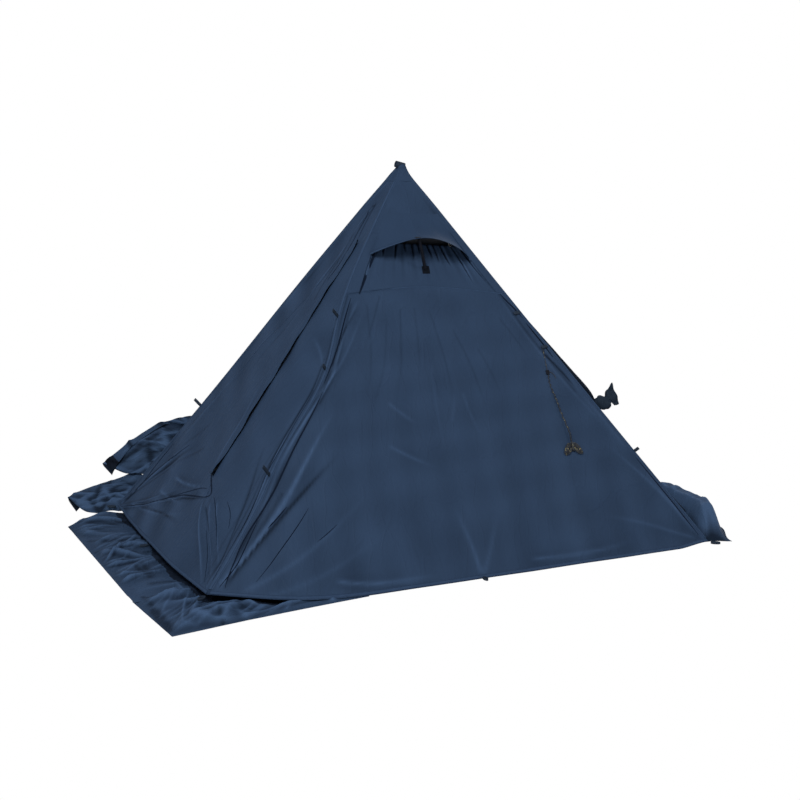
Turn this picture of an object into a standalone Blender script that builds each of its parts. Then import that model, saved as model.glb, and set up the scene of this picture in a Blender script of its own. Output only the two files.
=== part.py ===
"""Pyramid tent with two doors, a propped vent, a ground skirt and a single centre pole."""

import math

import bmesh
import bpy
from mathutils import Matrix, Vector

# Overall size of the pitched fly, metres, +Z up, origin on the ground under the pole
FLY_LENGTH = 2.40
FLY_WIDTH = 1.62
APEX_HEIGHT = 1.735
FABRIC = 0.002
SEAM_GAP = 0.001
RIDGE_GAP = 0.004

# Height of the hem above the ground at each corner
HEM_FRONT_LEFT = 0.045
HEM_FRONT_RIGHT = 0.070
HEM_REAR_RIGHT = 0.020
HEM_REAR_LEFT = 0.030
HEM_GROUND = 0.004
HEM_LANDS_AT = 0.30
MID_PULL_LEFT = 0.05
MID_PULL_RIGHT = 0.17
MID_PULL_SHORT = 0.03

# Door cut, as fractions along the hem (u) and from apex to hem (v)
ZIP_TOP_U = 0.70
ZIP_TOP_V = 0.20
ZIP_LOW_U = 0.615
ZIP_LOW_V = 0.80
ZIP_TAPE = 0.012
ZIP_END = 0.004
ZIP_HEAD = 0.014
SLIDER_SIZE = (0.011, 0.017, 0.0034)
SLIDER_BASE = 0.0027
SLIDER_PIN_UP = 0.0035
SLIDER_PIN_OUT = 0.0028
SLIDER_PIN_RADIUS = 0.0008
SLIDER_STOP = 0.016
SLIDER_TRAVEL_SHORT = 0.045
LUG_SIZE = (0.0016, 0.004, 0.0044)
LUG_SPREAD = 0.0035
PULL_SIZE = (0.0046, 0.034, 0.0034)
PULL_NOSE = 0.0018
PULL_HOLE = 0.0012
TAPE_PROFILE = ((0.0006, -0.0016), (0.0108, -0.0016), (0.0108, -0.0002), (0.0026, -0.0002),
                (0.0026, 0.0022), (0.0006, 0.0022))
FLAP_PROFILE = ((-0.034, 0.0020), (-0.022, 0.0034), (-0.012, 0.0117), (0.004, 0.0137), (0.022, 0.0097))
FLAP_LOW = 0.055
FLAP_HIGH = 0.030
FLAP_TAPER = 0.62
FLAP_CLOTH = 0.0012
DOOR_TOP_V = ZIP_TOP_V + 0.012
DOOR_LOW_V = 0.945
HINGE_GAP = 0.0035
SILL_GAP = 0.006

# Vent in the long side
HOOD_BEND_V = 0.13
HOOD_EDGE_V = 0.235
HOOD_OPEN = math.radians(39)
HOOD_FLAT_U = 0.055
CURTAIN_TOP_V = 0.205
CURTAIN_LOW_V = 0.336
CURTAIN_RISE = 0.020
PLEATS = 12
PLEAT_DEPTH = 0.012
PROP_U = 0.43
PATCH_U = 0.54
PATCH_V = 0.276
PATCH_SIZE = 0.036
PATCH_LIFT = -0.0012
TAB_THICKNESS = 0.002
PROP_SECTION = (0.008, 0.003)

# Pole
POLE_RADIUS = 0.0125
POLE_WALL = 0.0014
POLE_JOINTS = (0.012, 0.600, 1.150, 1.655)
POLE_FIT = 0.0003
SPIGOT = 0.060
SPIGOT_WALL = 0.0016
SPIGOT_CLEARANCE = 0.0004
TIP_STEM = 0.0048
TIP_FLANGE = 0.0085
FOOT_RADIUS = 0.019

# Guy line
CORD_DIAMETER = 0.003
HANK_LOOPS = 10
HANK_LAYERS = 2
HANK_STEP = 0.0062
LAYER_STEP = 0.0037
GUY_TOP_V = 0.495
GUY_Y = 0.545
GUY_LIFT = 0.0046
GUY_SLIDER_DROP = 0.100
GUY_SLIDER_SIZE = (0.016, 0.022, 0.0066)
HANK_DROP = 0.405
HANK_HALF_RUN = 0.034
HANK_INNER = 0.0045
HANK_WAIST = 0.42
HANK_DROOP = 0.30
HANK_TAPER = 0.0036
NEIGHBOURS = 6

# Ground skirt: two strips on the left stand up, given by lines of points from the hem to the free edge
SKIRT_LIFT = 0.0006
SKIRT_TUCK = 0.012
SKIRT_ROOT_IN = 0.036
SKIRT_ROOT_UP = 0.006
SKIRT_CLOTH = 0.0016
SKIRT_WRINKLE = 0.010
REAR_BULGE = 0.150
LEFT_FRONT_LINES = (
    ((-0.798, -1.197, 0.0155), (-0.804, -1.110, 0.0155), (-0.809, -1.030, 0.0155), (-0.813, -0.965, 0.0155)),
    ((-0.845, -1.235, 0.012), (-0.850, -1.130, 0.055), (-0.855, -1.050, 0.060), (-0.860, -0.985, 0.050)),
    ((-0.945, -1.320, 0.000), (-0.955, -1.210, 0.085), (-0.945, -1.090, 0.105), (-0.925, -1.010, 0.095)),
    ((-1.060, -1.400, 0.030), (-1.065, -1.290, 0.088), (-1.035, -1.160, 0.125), (-0.985, -1.060, 0.120)),
)
LEFT_REAR_LINES = (
    ((-0.817, -0.90, 0.0152), (-0.826, -0.75, 0.0148), (-0.836, -0.56, 0.0143), (-0.843, -0.36, 0.0139),
     (-0.847, -0.16, 0.0135), (-0.848, 0.05, 0.0130)),
    ((-0.868, -0.930, 0.075), (-0.880, -0.790, 0.085), (-0.885, -0.610, 0.090), (-0.895, -0.400, 0.080),
     (-0.910, -0.180, 0.050), (-0.915, 0.040, 0.008)),
    ((-0.925, -1.010, 0.155), (-0.935, -0.870, 0.195), (-0.935, -0.690, 0.215), (-0.940, -0.480, 0.200),
     (-0.965, -0.250, 0.120), (-0.980, 0.020, 0.005)),
    ((-1.005, -1.115, 0.172), (-1.000, -0.985, 0.265), (-0.975, -0.800, 0.330), (-0.960, -0.590, 0.330),
     (-0.990, -0.330, 0.200), (-1.040, 0.000, 0.003)),
    ((-1.100, -1.210, 0.170), (-1.075, -1.075, 0.285), (-1.020, -0.900, 0.405), (-0.975, -0.700, 0.425),
     (-1.010, -0.420, 0.280), (-1.090, -0.020, 0.000)),
)

# Rolled rear door: its tie, and its free end as distance from the tie, half width and half thickness
ROLL_LIFT = 0.0042
ROLL_FLATTEN = 0.8
ROLL_DROOP = 0.07
TIE_V = 0.655
TIE_SIZE = (0.028, 0.014, 0.0026)
TAIL_RINGS = ((0.0022, 0.014, 0.010), (0.030, 0.028, 0.020), (0.058, 0.026, 0.018), (0.084, 0.012, 0.009),
              (0.115, 0.026, 0.006), (0.150, 0.036, 0.003))
TAIL_DROP = 0.15

# Ridge bindings, webbing tabs and peg loops. A loop is its reach, its spread and its webbing's width.
BINDING_REACH = 0.013
BINDING_LIFT = 0.0017
BINDING_CLOTH = 0.0012
TAB_REACH = 0.020
TAB_SIZE = (0.0034, 0.015, TAB_REACH)
TAB_ROOT = 0.0062
STRAP_THICKNESS = 0.0016
CORNER_LOOP = (0.046, 0.022, 0.016)
MID_LOOP = (0.042, 0.020, 0.016)
APEX_LOOP = (0.017, 0.014, 0.012)

ROWS = (0.012, 0.05, 0.09, 0.13, 0.17, 0.2, 0.25, 0.3, 0.345, 0.39, 0.435, 0.48, 0.52, 0.56,
        0.6, 0.64, 0.68, 0.72, 0.76, 0.8, 0.85, 0.9, 0.95, 1.0)

HALF_WIDTH = FLY_WIDTH / 2
HALF_LENGTH = FLY_LENGTH / 2
APEX = Vector((0, 0, APEX_HEIGHT))
CORNERS = {
    "front_left": Vector((-HALF_WIDTH, -HALF_LENGTH, HEM_FRONT_LEFT)),
    "front_right": Vector((HALF_WIDTH, -HALF_LENGTH, HEM_FRONT_RIGHT)),
    "rear_right": Vector((HALF_WIDTH, HALF_LENGTH, HEM_REAR_RIGHT)),
    "rear_left": Vector((-HALF_WIDTH, HALF_LENGTH, HEM_REAR_LEFT)),
}
SIDES = {
    "front": ("front_left", "front_right"),
    "right": ("front_right", "rear_right"),
    "rear": ("rear_right", "rear_left"),
    "left": ("rear_left", "front_left"),
}


def clear_scene():
    for old in list(bpy.data.objects):
        bpy.data.objects.remove(old, do_unlink=True)


def make_collection(name):
    group = bpy.data.collections.new(name)
    bpy.context.scene.collection.children.link(group)
    return group


def make_material(name, colour, roughness, metallic=0.0):
    material = bpy.data.materials.new(name)
    material.use_nodes = True
    shader = material.node_tree.nodes["Principled BSDF"]
    shader.inputs["Base Color"].default_value = (*colour, 1.0)
    shader.inputs["Roughness"].default_value = roughness
    shader.inputs["Metallic"].default_value = metallic
    material.diffuse_color = (*colour, 1.0)
    return material


def smooth(t):
    t = min(max(t, 0.0), 1.0)
    return t * t * (3 - 2 * t)


def bump(t, centre, spread):
    return math.exp(-(((t - centre) / spread) ** 2))


def mix(a, b, t):
    return a + (b - a) * t


# Shape of the tensioned fly

def hem_length(side):
    start, end = SIDES[side]
    return (CORNERS[end] - CORNERS[start]).length


def outward(side):
    start, end = SIDES[side]
    normal = (CORNERS[end] - CORNERS[start]).cross(APEX - CORNERS[start])
    return normal.normalized()


def ridge_shift(corner, v):
    """How far a ridge seam leaves the straight line from the apex to its corner."""
    inward = -Vector((CORNERS[corner].x, CORNERS[corner].y, 0)).normalized()
    if corner == "front_right":
        pull = 0.085 * bump(v, 0.55, 0.15) + 0.035 * smooth((v - 0.15) / 0.6)
        return Vector((-0.25, 1.0, 0)).normalized() * pull
    if corner == "front_left":
        return inward * -0.018 * smooth(v / 0.03) * (1 - smooth((v - 0.25) / 0.45))
    if corner == "rear_right":
        return inward * 0.006 * math.sin(math.pi * v)
    return inward * 0.022 * math.sin(math.pi * v)


def hem_shift(side, u, v):
    """The hem is pegged out at mid side, and the long side lies down on the ground."""
    if side == "right":
        pull = MID_PULL_RIGHT * v ** 5 * (1 - u) * math.sin(math.pi / 2 * min(u / 0.18, 1))
    elif side == "left":
        pull = MID_PULL_LEFT * v ** 5 * math.sin(math.pi * u)
    else:
        pull = MID_PULL_SHORT * smooth((v - ZIP_LOW_V) / 0.25) * math.sin(math.pi * u)
    shift = Vector((outward(side).x, outward(side).y, 0)).normalized() * pull
    if side == "right":
        drop = smooth(u / HEM_LANDS_AT) * (1 - smooth((u - 0.93) / 0.07))
        height = mix(HEM_FRONT_RIGHT, HEM_REAR_RIGHT, u) - HEM_GROUND
        shift.z -= height * drop * v ** 8
    return shift


def wall_point(side, u, v, lift=0.0):
    """Point of a wall's outer face: u along the hem, v from the apex down to the hem."""
    start, end = SIDES[side]
    flat = APEX.lerp(CORNERS[start].lerp(CORNERS[end], u), v)
    if side == "front":
        weight_start, weight_end = max(1 - u / 0.12, 0.0), smooth((u - 0.72) / 0.28)
    elif side == "rear":
        weight_start, weight_end = smooth((0.2 - u) / 0.2), smooth((u - 0.75) / 0.25)
    else:
        weight_start, weight_end = (1 - u) ** 2, u ** 2
    point = flat + ridge_shift(start, v) * weight_start + ridge_shift(end, v) * weight_end
    sag = 0.0
    if side in ("left", "right"):
        sag = 0.016 * math.sin(math.pi * u) * math.sin(math.pi * min(v, 1.0)) ** 2
        sag += 0.010 * bump(u - 0.35 * v, 0.05, 0.05) * smooth((v - 0.4) / 0.2) * (1 - smooth((v - 0.9) / 0.1))
        sag *= smooth((v - 0.34) / 0.1)
    return point + hem_shift(side, u, v) + outward(side) * (lift - sag)


def u_inset(side, v, distance):
    return distance / (v * hem_length(side))


# Building blocks

def finish_mesh(name, mesh_data, material, group, sharp=math.radians(40)):
    mesh = bpy.data.meshes.new(name)
    mesh_data.to_mesh(mesh)
    mesh_data.free()
    mesh.materials.append(material)
    mesh.shade_smooth()
    mesh.set_sharp_from_angle(angle=sharp)
    built = bpy.data.objects.new(name, mesh)
    group.objects.link(built)
    return built


def sheet(name, rows, facing, material, group, thickness=FABRIC, offset=-1.0):
    """Cloth from rows of points that all hold the same number, thickened away from its face."""
    cloth = bmesh.new()
    grid = [[cloth.verts.new(point) for point in row] for row in rows]
    for upper, lower in zip(grid, grid[1:]):
        for k in range(len(upper) - 1):
            cloth.faces.new((upper[k], lower[k], lower[k + 1], upper[k + 1]))
    cloth.normal_update()
    total = sum((face.normal * face.calc_area() for face in cloth.faces), Vector())
    if total.dot(facing) < 0:
        bmesh.ops.reverse_faces(cloth, faces=cloth.faces)
    built = finish_mesh(name, cloth, material, group)
    thicken = built.modifiers.new("Thickness", "SOLIDIFY")
    thicken.thickness = thickness
    thicken.offset = offset
    return built


def wall_panel(name, side, v_rows, u_left, u_right, columns, material, group, lift=0.0):
    rows = []
    for v in v_rows:
        low, high = u_left(v), u_right(v)
        rows.append([wall_point(side, mix(low, high, k / columns), v, lift) for k in range(columns + 1)])
    return sheet(name, rows, outward(side), material, group)


def put_origin(built, point):
    """Move a piece's own origin onto its joint and leave the piece where it is."""
    place = built.matrix_world.copy()
    moved = place.copy()
    moved.translation = point
    built.data.transform(moved.inverted() @ place)
    built.matrix_world = moved


def frame_matrix(origin, x_axis, y_axis, z_axis):
    turn = Matrix((x_axis, y_axis, z_axis)).transposed().to_4x4()
    return Matrix.Translation(origin) @ turn


def block(name, size, place, material, group, round_edge=0.0):
    shape = bmesh.new()
    bmesh.ops.create_cube(shape, size=1.0)
    bmesh.ops.scale(shape, vec=size, verts=shape.verts)
    built = finish_mesh(name, shape, material, group)
    built.matrix_world = place
    if round_edge:
        edge = built.modifiers.new("Edge", "BEVEL")
        edge.width = round_edge
        edge.segments = 1
    return built


def rod(name, radius, length, place, material, group, sides=16):
    shape = bmesh.new()
    bmesh.ops.create_cone(shape, cap_ends=True, segments=sides, radius1=radius, radius2=radius, depth=length)
    built = finish_mesh(name, shape, material, group)
    built.matrix_world = place
    return built


def turned(name, profile, material, group, steps=20):
    """Solid turned about the pole's axis from a profile of (radius, height), top to bottom."""
    outline = bmesh.new()
    points = [outline.verts.new((radius, 0, height)) for radius, height in profile]
    for first, second in zip(points, points[1:]):
        outline.edges.new((first, second))
    if profile[0][0] > 0 and profile[-1][0] > 0:
        outline.edges.new((points[-1], points[0]))
    built = finish_mesh(name, outline, material, group)
    screw = built.modifiers.new("Turn", "SCREW")
    screw.steps = steps
    screw.render_steps = steps
    screw.use_merge_vertices = True
    screw.merge_threshold = 0.0001
    return built


def combine(target, tool, operation, cutters):
    """Join or cut a piece with a guide solid that stays hidden."""
    for group in list(tool.users_collection):
        group.objects.unlink(tool)
    cutters.objects.link(tool)
    tool.hide_render = True
    tool.display_type = "WIRE"
    step = target.modifiers.new(operation.title(), "BOOLEAN")
    step.operation = operation
    step.solver = "EXACT"
    step.object = tool


def loft(name, rings, material, group):
    """Closed solid through rings of equal point counts."""
    shape = bmesh.new()
    loops = [[shape.verts.new(point) for point in ring] for ring in rings]
    count = len(rings[0])
    for near, far in zip(loops, loops[1:]):
        for k in range(count):
            shape.faces.new((near[k], near[(k + 1) % count], far[(k + 1) % count], far[k]))
    shape.faces.new(loops[0][::-1])
    shape.faces.new(loops[-1])
    bmesh.ops.recalc_face_normals(shape, faces=shape.faces)
    return finish_mesh(name, shape, material, group)


def tube(name, points, radius, resolution, material, group):
    """Cord as a mesh made from a bevelled curve with filled caps."""
    data = bpy.data.curves.new(name, "CURVE")
    data.dimensions = "3D"
    data.bevel_depth = radius
    data.bevel_resolution = resolution
    data.use_fill_caps = True
    spline = data.splines.new("POLY")
    spline.points.add(len(points) - 1)
    for knot, point in zip(spline.points, points):
        knot.co = (*point, 1.0)
    guide = bpy.data.objects.new(name + "_line", data)
    bpy.context.scene.collection.objects.link(guide)
    bpy.context.view_layer.update()
    ready = guide.evaluated_get(bpy.context.evaluated_depsgraph_get())
    mesh = bpy.data.meshes.new_from_object(ready)
    weld = bmesh.new()
    weld.from_mesh(mesh)
    bmesh.ops.remove_doubles(weld, verts=weld.verts, dist=0.00002)
    bmesh.ops.recalc_face_normals(weld, faces=weld.faces)
    bpy.data.objects.remove(guide, do_unlink=True)
    bpy.data.curves.remove(data)
    bpy.data.meshes.remove(mesh)
    return finish_mesh(name, weld, material, group)


# Cut lines of a door, in u for a given v

def zip_line(v):
    top, low = ZIP_TOP_U * ZIP_TOP_V, ZIP_LOW_U * ZIP_LOW_V
    return mix(top, low, (v - ZIP_TOP_V) / (ZIP_LOW_V - ZIP_TOP_V)) / v


def hinge_line(v):
    top = ZIP_TOP_U * ZIP_TOP_V
    return top * (1 - v) / (1 - ZIP_TOP_V) / v


def sill_left(v):
    corner = ZIP_LOW_U * ZIP_LOW_V
    return corner * (1 - v) / (1 - ZIP_LOW_V) / v


def sill_right(v):
    corner = ZIP_LOW_U * ZIP_LOW_V
    return mix(corner, 1.0, (v - ZIP_LOW_V) / (1 - ZIP_LOW_V)) / v


def door_left(v):
    return hinge_line(v) + u_inset("front", v, HINGE_GAP)


def door_right(v):
    if v <= ZIP_LOW_V:
        return zip_line(v) - u_inset("front", v, ZIP_TAPE)
    return min(sill_left(v) - u_inset("front", v, SILL_GAP), zip_line(v) - u_inset("front", v, ZIP_TAPE))


def side_left(v):
    return u_inset("front", v, RIDGE_GAP)


def side_right(v):
    if v <= ZIP_TOP_V:
        return ZIP_TOP_U - u_inset("front", v, SEAM_GAP)
    return max(hinge_line(v) - u_inset("front", v, HINGE_GAP), side_left(v) + u_inset("front", v, 0.003))


def fixed_left(v):
    if v <= ZIP_TOP_V:
        return ZIP_TOP_U + u_inset("front", v, SEAM_GAP)
    if v <= ZIP_LOW_V:
        return zip_line(v) + u_inset("front", v, ZIP_TAPE)
    return sill_right(v) + u_inset("front", v, ZIP_TAPE * (1 - (v - ZIP_LOW_V) * 3))


def ridge_right(v):
    return 1 - u_inset("front", v, RIDGE_GAP)


def rows_between(low, high, extra=()):
    inner = [v for v in ROWS if low + 0.006 < v < high - 0.006]
    return sorted([low, *inner, high, *extra])


def build_gable(side, cloth, group):
    """Fixed panels of a short side, which leave the door's triangle open."""
    rows = rows_between(ROWS[0], 0.975, (ZIP_TOP_V + 0.005,))
    wall_panel(side + "_side_panel", side, rows, side_left, side_right, 6, cloth, group)
    wall_panel(side + "_fixed_panel", side, rows, fixed_left, ridge_right, 5, cloth, group)
    sill_rows = rows_between(ZIP_LOW_V + 0.012, 1.0, (0.875, 0.925))

    def left(v):
        edge = u_inset(side, v, RIDGE_GAP)
        return max(sill_left(v) + u_inset(side, v, SILL_GAP), edge)

    def right(v):
        return min(sill_right(v) - u_inset(side, v, SILL_GAP), 1 - u_inset(side, v, RIDGE_GAP))

    wall_panel(side + "_sill_panel", side, sill_rows, left, right, 10, cloth, group)


# Zip of a door

def zip_frame(side):
    """Axes at the zip's lower end: across the zip, up the zip and out of the wall."""
    low = wall_point(side, ZIP_LOW_U, ZIP_LOW_V)
    top = wall_point(side, ZIP_TOP_U, ZIP_TOP_V)
    up = (top - low).normalized()
    out = outward(side)
    across = up.cross(out).normalized()
    return low, across, up, out, (top - low).length


def zip_tape(name, side, direction, material, group):
    """Half of the zip: tape with its raised coil along the middle."""
    low, across, up, out, length = zip_frame(side)
    start = low + up * ZIP_END
    shape = bmesh.new()
    ring = [shape.verts.new(start + across * (direction * x) + out * y) for x, y in TAPE_PROFILE]
    face = shape.faces.new(ring)
    grown = bmesh.ops.extrude_face_region(shape, geom=[face])
    moved = [item for item in grown["geom"] if isinstance(item, bmesh.types.BMVert)]
    bmesh.ops.translate(shape, verts=moved, vec=up * (length - ZIP_END - ZIP_HEAD))
    bmesh.ops.recalc_face_normals(shape, faces=shape.faces)
    return finish_mesh(name, shape, material, group)


def slider_axes(side, travel):
    low, across, up, out, length = zip_frame(side)
    climb = SLIDER_STOP + travel * (length - SLIDER_TRAVEL_SHORT)
    centre = low + up * climb + out * (SLIDER_BASE + SLIDER_SIZE[2] / 2)
    return centre, across, up, out


def zip_slider(name, side, travel, metal, group, cutters):
    centre, across, up, out = slider_axes(side, travel)
    place = frame_matrix(centre, across, up, out)
    body = block(name, SLIDER_SIZE, place, metal, group, 0.0008)
    top = SLIDER_SIZE[2] / 2
    for number, offset in enumerate((-LUG_SPREAD, LUG_SPREAD)):
        lug_height = top + LUG_SIZE[2] / 2 - SPIGOT_CLEARANCE
        lug_place = place @ Matrix.Translation((offset, SLIDER_PIN_UP, lug_height))
        lug = block(name + "_lug_" + str(number), LUG_SIZE, lug_place, metal, group)
        combine(body, lug, "UNION", cutters)
    turn = Matrix.Rotation(math.pi / 2, 4, "Y")
    pin_place = place @ Matrix.Translation((0, SLIDER_PIN_UP, top + SLIDER_PIN_OUT)) @ turn
    pin = rod(name + "_pin", SLIDER_PIN_RADIUS, 2 * LUG_SPREAD + 0.0004, pin_place, metal, group, 12)
    combine(body, pin, "UNION", cutters)
    return body


def zip_pull(name, side, travel, metal, group, cutters):
    """Flat tab with a hole that turns on the slider's pin."""
    centre, across, up, out = slider_axes(side, travel)
    pin = centre + up * SLIDER_PIN_UP + out * (SLIDER_SIZE[2] / 2 + SLIDER_PIN_OUT)
    place = frame_matrix(pin, across, up, out)
    shape = bmesh.new()
    bmesh.ops.create_cube(shape, size=1.0)
    bmesh.ops.scale(shape, vec=PULL_SIZE, verts=shape.verts)
    bmesh.ops.translate(shape, verts=shape.verts, vec=(0, PULL_NOSE - PULL_SIZE[1] / 2, 0))
    for vert in shape.verts:
        if vert.co.y < -0.02:
            vert.co.z *= 0.5
            vert.co.z += 0.0002
    tab = finish_mesh(name, shape, metal, group)
    tab.matrix_world = place
    hole_place = place @ Matrix.Rotation(math.pi / 2, 4, "Y")
    hole = rod(name + "_hole", PULL_HOLE, PULL_SIZE[0] * 2, hole_place, metal, group, 14)
    combine(tab, hole, "DIFFERENCE", cutters)
    return tab


def storm_flap(name, side, material, group):
    """Flap sewn to the door that stands over the zip and narrows towards its upper end."""
    low, across, up, out, length = zip_frame(side)
    rows = []
    for k in range(11):
        climb = mix(FLAP_LOW, length - FLAP_HIGH, k / 10)
        hinge_away = FLAP_TAPER * (length - climb)
        narrow = min(1.0, (hinge_away - 0.003) / -FLAP_PROFILE[0][0])
        base = low + up * climb
        rows.append([base + across * (x * narrow if x < 0 else x) + out * y for x, y in FLAP_PROFILE])
    return sheet(name, rows, out, material, group, FLAP_CLOTH)


# Peak, hood and vent of the long side

def hood_edge(u):
    return HOOD_EDGE_V + 0.02 * u


def hood_point(u, t):
    """The hood turns out about its bend line, most at mid width and not at all at the ridges."""
    bend = wall_point("right", u, HOOD_BEND_V + 0.0006)
    edge = wall_point("right", u, hood_edge(u))
    reach = (edge - bend).length
    inner = max((min(u, 1 - u) - HOOD_FLAT_U) / (0.5 - HOOD_FLAT_U), 0.0)
    angle = HOOD_OPEN * math.sin(math.pi / 2 * inner) ** 0.8
    along = (edge - bend).normalized()
    curl = angle * (0.55 + 0.45 * t)
    direction = along * math.cos(curl) + outward("right") * math.sin(curl)
    return bend + direction * reach * t


def curtain_low(u):
    return CURTAIN_LOW_V - CURTAIN_RISE * math.sin(math.pi * u) + 0.008 * u


def build_vent(cloth, mesh_cloth, black, group):
    normal = outward("right")

    def left(v):
        return u_inset("right", v, RIDGE_GAP)

    def right(v):
        return 1 - u_inset("right", v, RIDGE_GAP)

    wall_panel("right_peak_panel", "right", rows_between(ROWS[0], HOOD_BEND_V), left, right, 8, cloth, group)
    rows = []
    for j in range(7):
        t = j / 6
        v = mix(HOOD_BEND_V, HOOD_EDGE_V, t)
        spread = [left(v), *(mix(HOOD_FLAT_U, 1 - HOOD_FLAT_U, k / 14) for k in range(15)), right(v)]
        rows.append([hood_point(u, t) for u in spread])
    sheet("vent_hood", rows, normal, cloth, group, 0.0016)
    mesh_rows = (HOOD_BEND_V + 0.006, 0.17, CURTAIN_TOP_V - 0.004)
    net = []
    for v in mesh_rows:
        low, high = left(v) + u_inset("right", v, 0.010), right(v) - u_inset("right", v, 0.010)
        net.append([wall_point("right", mix(low, high, k / 8), v, -0.008) for k in range(9)])
    sheet("vent_mesh", net, normal, mesh_cloth, group, 0.0012)
    columns = PLEATS * 4
    pleated = []
    for j in range(5):
        fall = j / 4
        row = []
        for k in range(columns + 1):
            u = mix(0.02, 0.98, k / columns)
            v = mix(CURTAIN_TOP_V + 0.015 * u, curtain_low(u) - 0.001, fall)
            depth = PLEAT_DEPTH * (1 - fall) ** 1.2 * (0.5 - 0.5 * math.cos(2 * math.pi * PLEATS * k / columns))
            row.append(wall_point("right", u, v, -0.0045 * (1 - fall) - depth))
        pleated.append(row)
    sheet("vent_curtain", pleated, normal, cloth, group, 0.0012)
    patch_spot = wall_point("right", PATCH_U, PATCH_V, PATCH_LIFT + 0.0006)
    hem = (CORNERS["rear_right"] - CORNERS["front_right"]).normalized()
    place = frame_matrix(patch_spot, hem, normal.cross(hem), normal)
    block("vent_prop_patch", (PATCH_SIZE, PATCH_SIZE, 0.0012), place, black, group)


def build_right_wall(cloth, group):
    """Long side below the curtain, whose top edge follows the curtain's arched seam."""
    columns = 14
    rows = []
    for v in (0, *(v for v in ROWS if v > 0.37)):
        inset = u_inset("right", v or CURTAIN_LOW_V, RIDGE_GAP)
        across = [mix(inset, 1 - inset, k / columns) for k in range(columns + 1)]
        rows.append([wall_point("right", u, v or curtain_low(u) + 0.001) for u in across])
    sheet("right_wall_panel", rows, outward("right"), cloth, group)


def build_left_wall(cloth, group):
    def left(v):
        return u_inset("left", v, RIDGE_GAP)

    def right(v):
        return 1 - u_inset("left", v, RIDGE_GAP)

    wall_panel("left_wall_panel", "left", ROWS, left, right, 10, cloth, group)


def build_prop(black, group):
    """Flat stay from a stiff tab under the hood's edge down to the patch, and that tab."""
    y_axis = Vector((0, 1, 0))
    slope = hood_point(PROP_U, 1.0) - hood_point(PROP_U, 0.85)
    slope = (slope - y_axis * slope.y).normalized()
    above = slope.cross(y_axis).normalized()
    if above.z < 0:
        above = -above
    tab_centre = hood_point(PROP_U, 0.93) - above * 0.0050
    tab_place = frame_matrix(tab_centre, y_axis, slope, y_axis.cross(slope))
    tab = block("vent_hood_tab", (0.030, 0.016, TAB_THICKNESS), tab_place, black, group, 0.0005)
    put_origin(tab, wall_point("right", 0.5, HOOD_BEND_V))
    lower = wall_point("right", PATCH_U, PATCH_V, PATCH_LIFT + 0.0016)
    along = (tab_centre - lower).normalized()
    side_axis = (y_axis - along * along.y).normalized()
    thin = along.cross(side_axis)
    width, thickness = PROP_SECTION
    tilt = (width * abs(side_axis.dot(above)) + thickness * abs(thin.dot(above))) / 2
    upper = tab_centre - along * ((TAB_THICKNESS / 2 + tilt + 0.0004) / abs(along.dot(above)))
    normal = outward("right")
    foot_tilt = (width * abs(side_axis.dot(normal)) + thickness * abs(thin.dot(normal))) / 2
    start = lower + along * (foot_tilt / abs(along.dot(normal)))
    place = frame_matrix((start + upper) / 2, side_axis, thin, along)
    prop = block("vent_prop", (width, thickness, (upper - start).length), place, black, group, 0.0008)
    put_origin(prop, upper)


# Ridge seams, apex and loops

def ridge_sides(corner):
    before = next(side for side, ends in SIDES.items() if ends[1] == corner)
    after = next(side for side, ends in SIDES.items() if ends[0] == corner)
    return before, after


def ridge_strip_row(corner, v, reach, lift):
    before, after = ridge_sides(corner)
    spine = (outward(before) + outward(after)).normalized()
    near = wall_point(before, 1 - u_inset(before, v, reach), v, lift)
    far = wall_point(after, u_inset(after, v, reach), v, lift)
    middle = (wall_point(before, 1, v) + wall_point(after, 0, v)) / 2 + spine * lift * 1.3
    half_before = wall_point(before, 1 - u_inset(before, v, reach * 0.3), v, lift * 1.1)
    half_after = wall_point(after, u_inset(after, v, reach * 0.3), v, lift * 1.1)
    return [near, half_before, middle, half_after, far]


def build_ridges(material, group):
    for corner in CORNERS:
        rows = [ridge_strip_row(corner, v, BINDING_REACH, BINDING_LIFT) for v in rows_between(0.075, 0.985)]
        before, after = ridge_sides(corner)
        facing = outward(before) + outward(after)
        sheet("ridge_binding_" + corner, rows, facing, material, group, BINDING_CLOTH, 1.0)


def build_apex(cloth, webbing, group):
    cap = bmesh.new()
    top = cap.verts.new(APEX + Vector((0, 0, 0.004)))
    rings = []
    for v in (0.022, 0.062):
        ring = []
        for side in ("front", "right", "rear", "left"):
            start = SIDES[side][0]
            before, after = ridge_sides(start)
            spine = (outward(before) + outward(after)).normalized()
            ring.append(cap.verts.new(wall_point(side, 0.0, v) + spine * 0.0026))
            ring.append(cap.verts.new(wall_point(side, 0.5, v, 0.0018)))
        rings.append(ring)
    count = len(rings[0])
    for k in range(count):
        cap.faces.new((top, rings[0][k], rings[0][(k + 1) % count]))
        cap.faces.new((rings[0][k], rings[1][k], rings[1][(k + 1) % count], rings[0][(k + 1) % count]))
    bmesh.ops.recalc_face_normals(cap, faces=cap.faces)
    cap.normal_update()
    if sum((face.normal.z for face in cap.faces)) < 0:
        bmesh.ops.reverse_faces(cap, faces=cap.faces)
    built = finish_mesh("apex_cap", cap, cloth, group)
    thicken = built.modifiers.new("Thickness", "SOLIDIFY")
    thicken.thickness = 0.0014
    thicken.offset = 1.0
    peak = APEX + Vector((0, 0, 0.0072))
    ring_strap("apex_loop", peak, Vector((0, 0, 1)), Vector((0, 1, 0)), APEX_LOOP, webbing, group)


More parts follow.
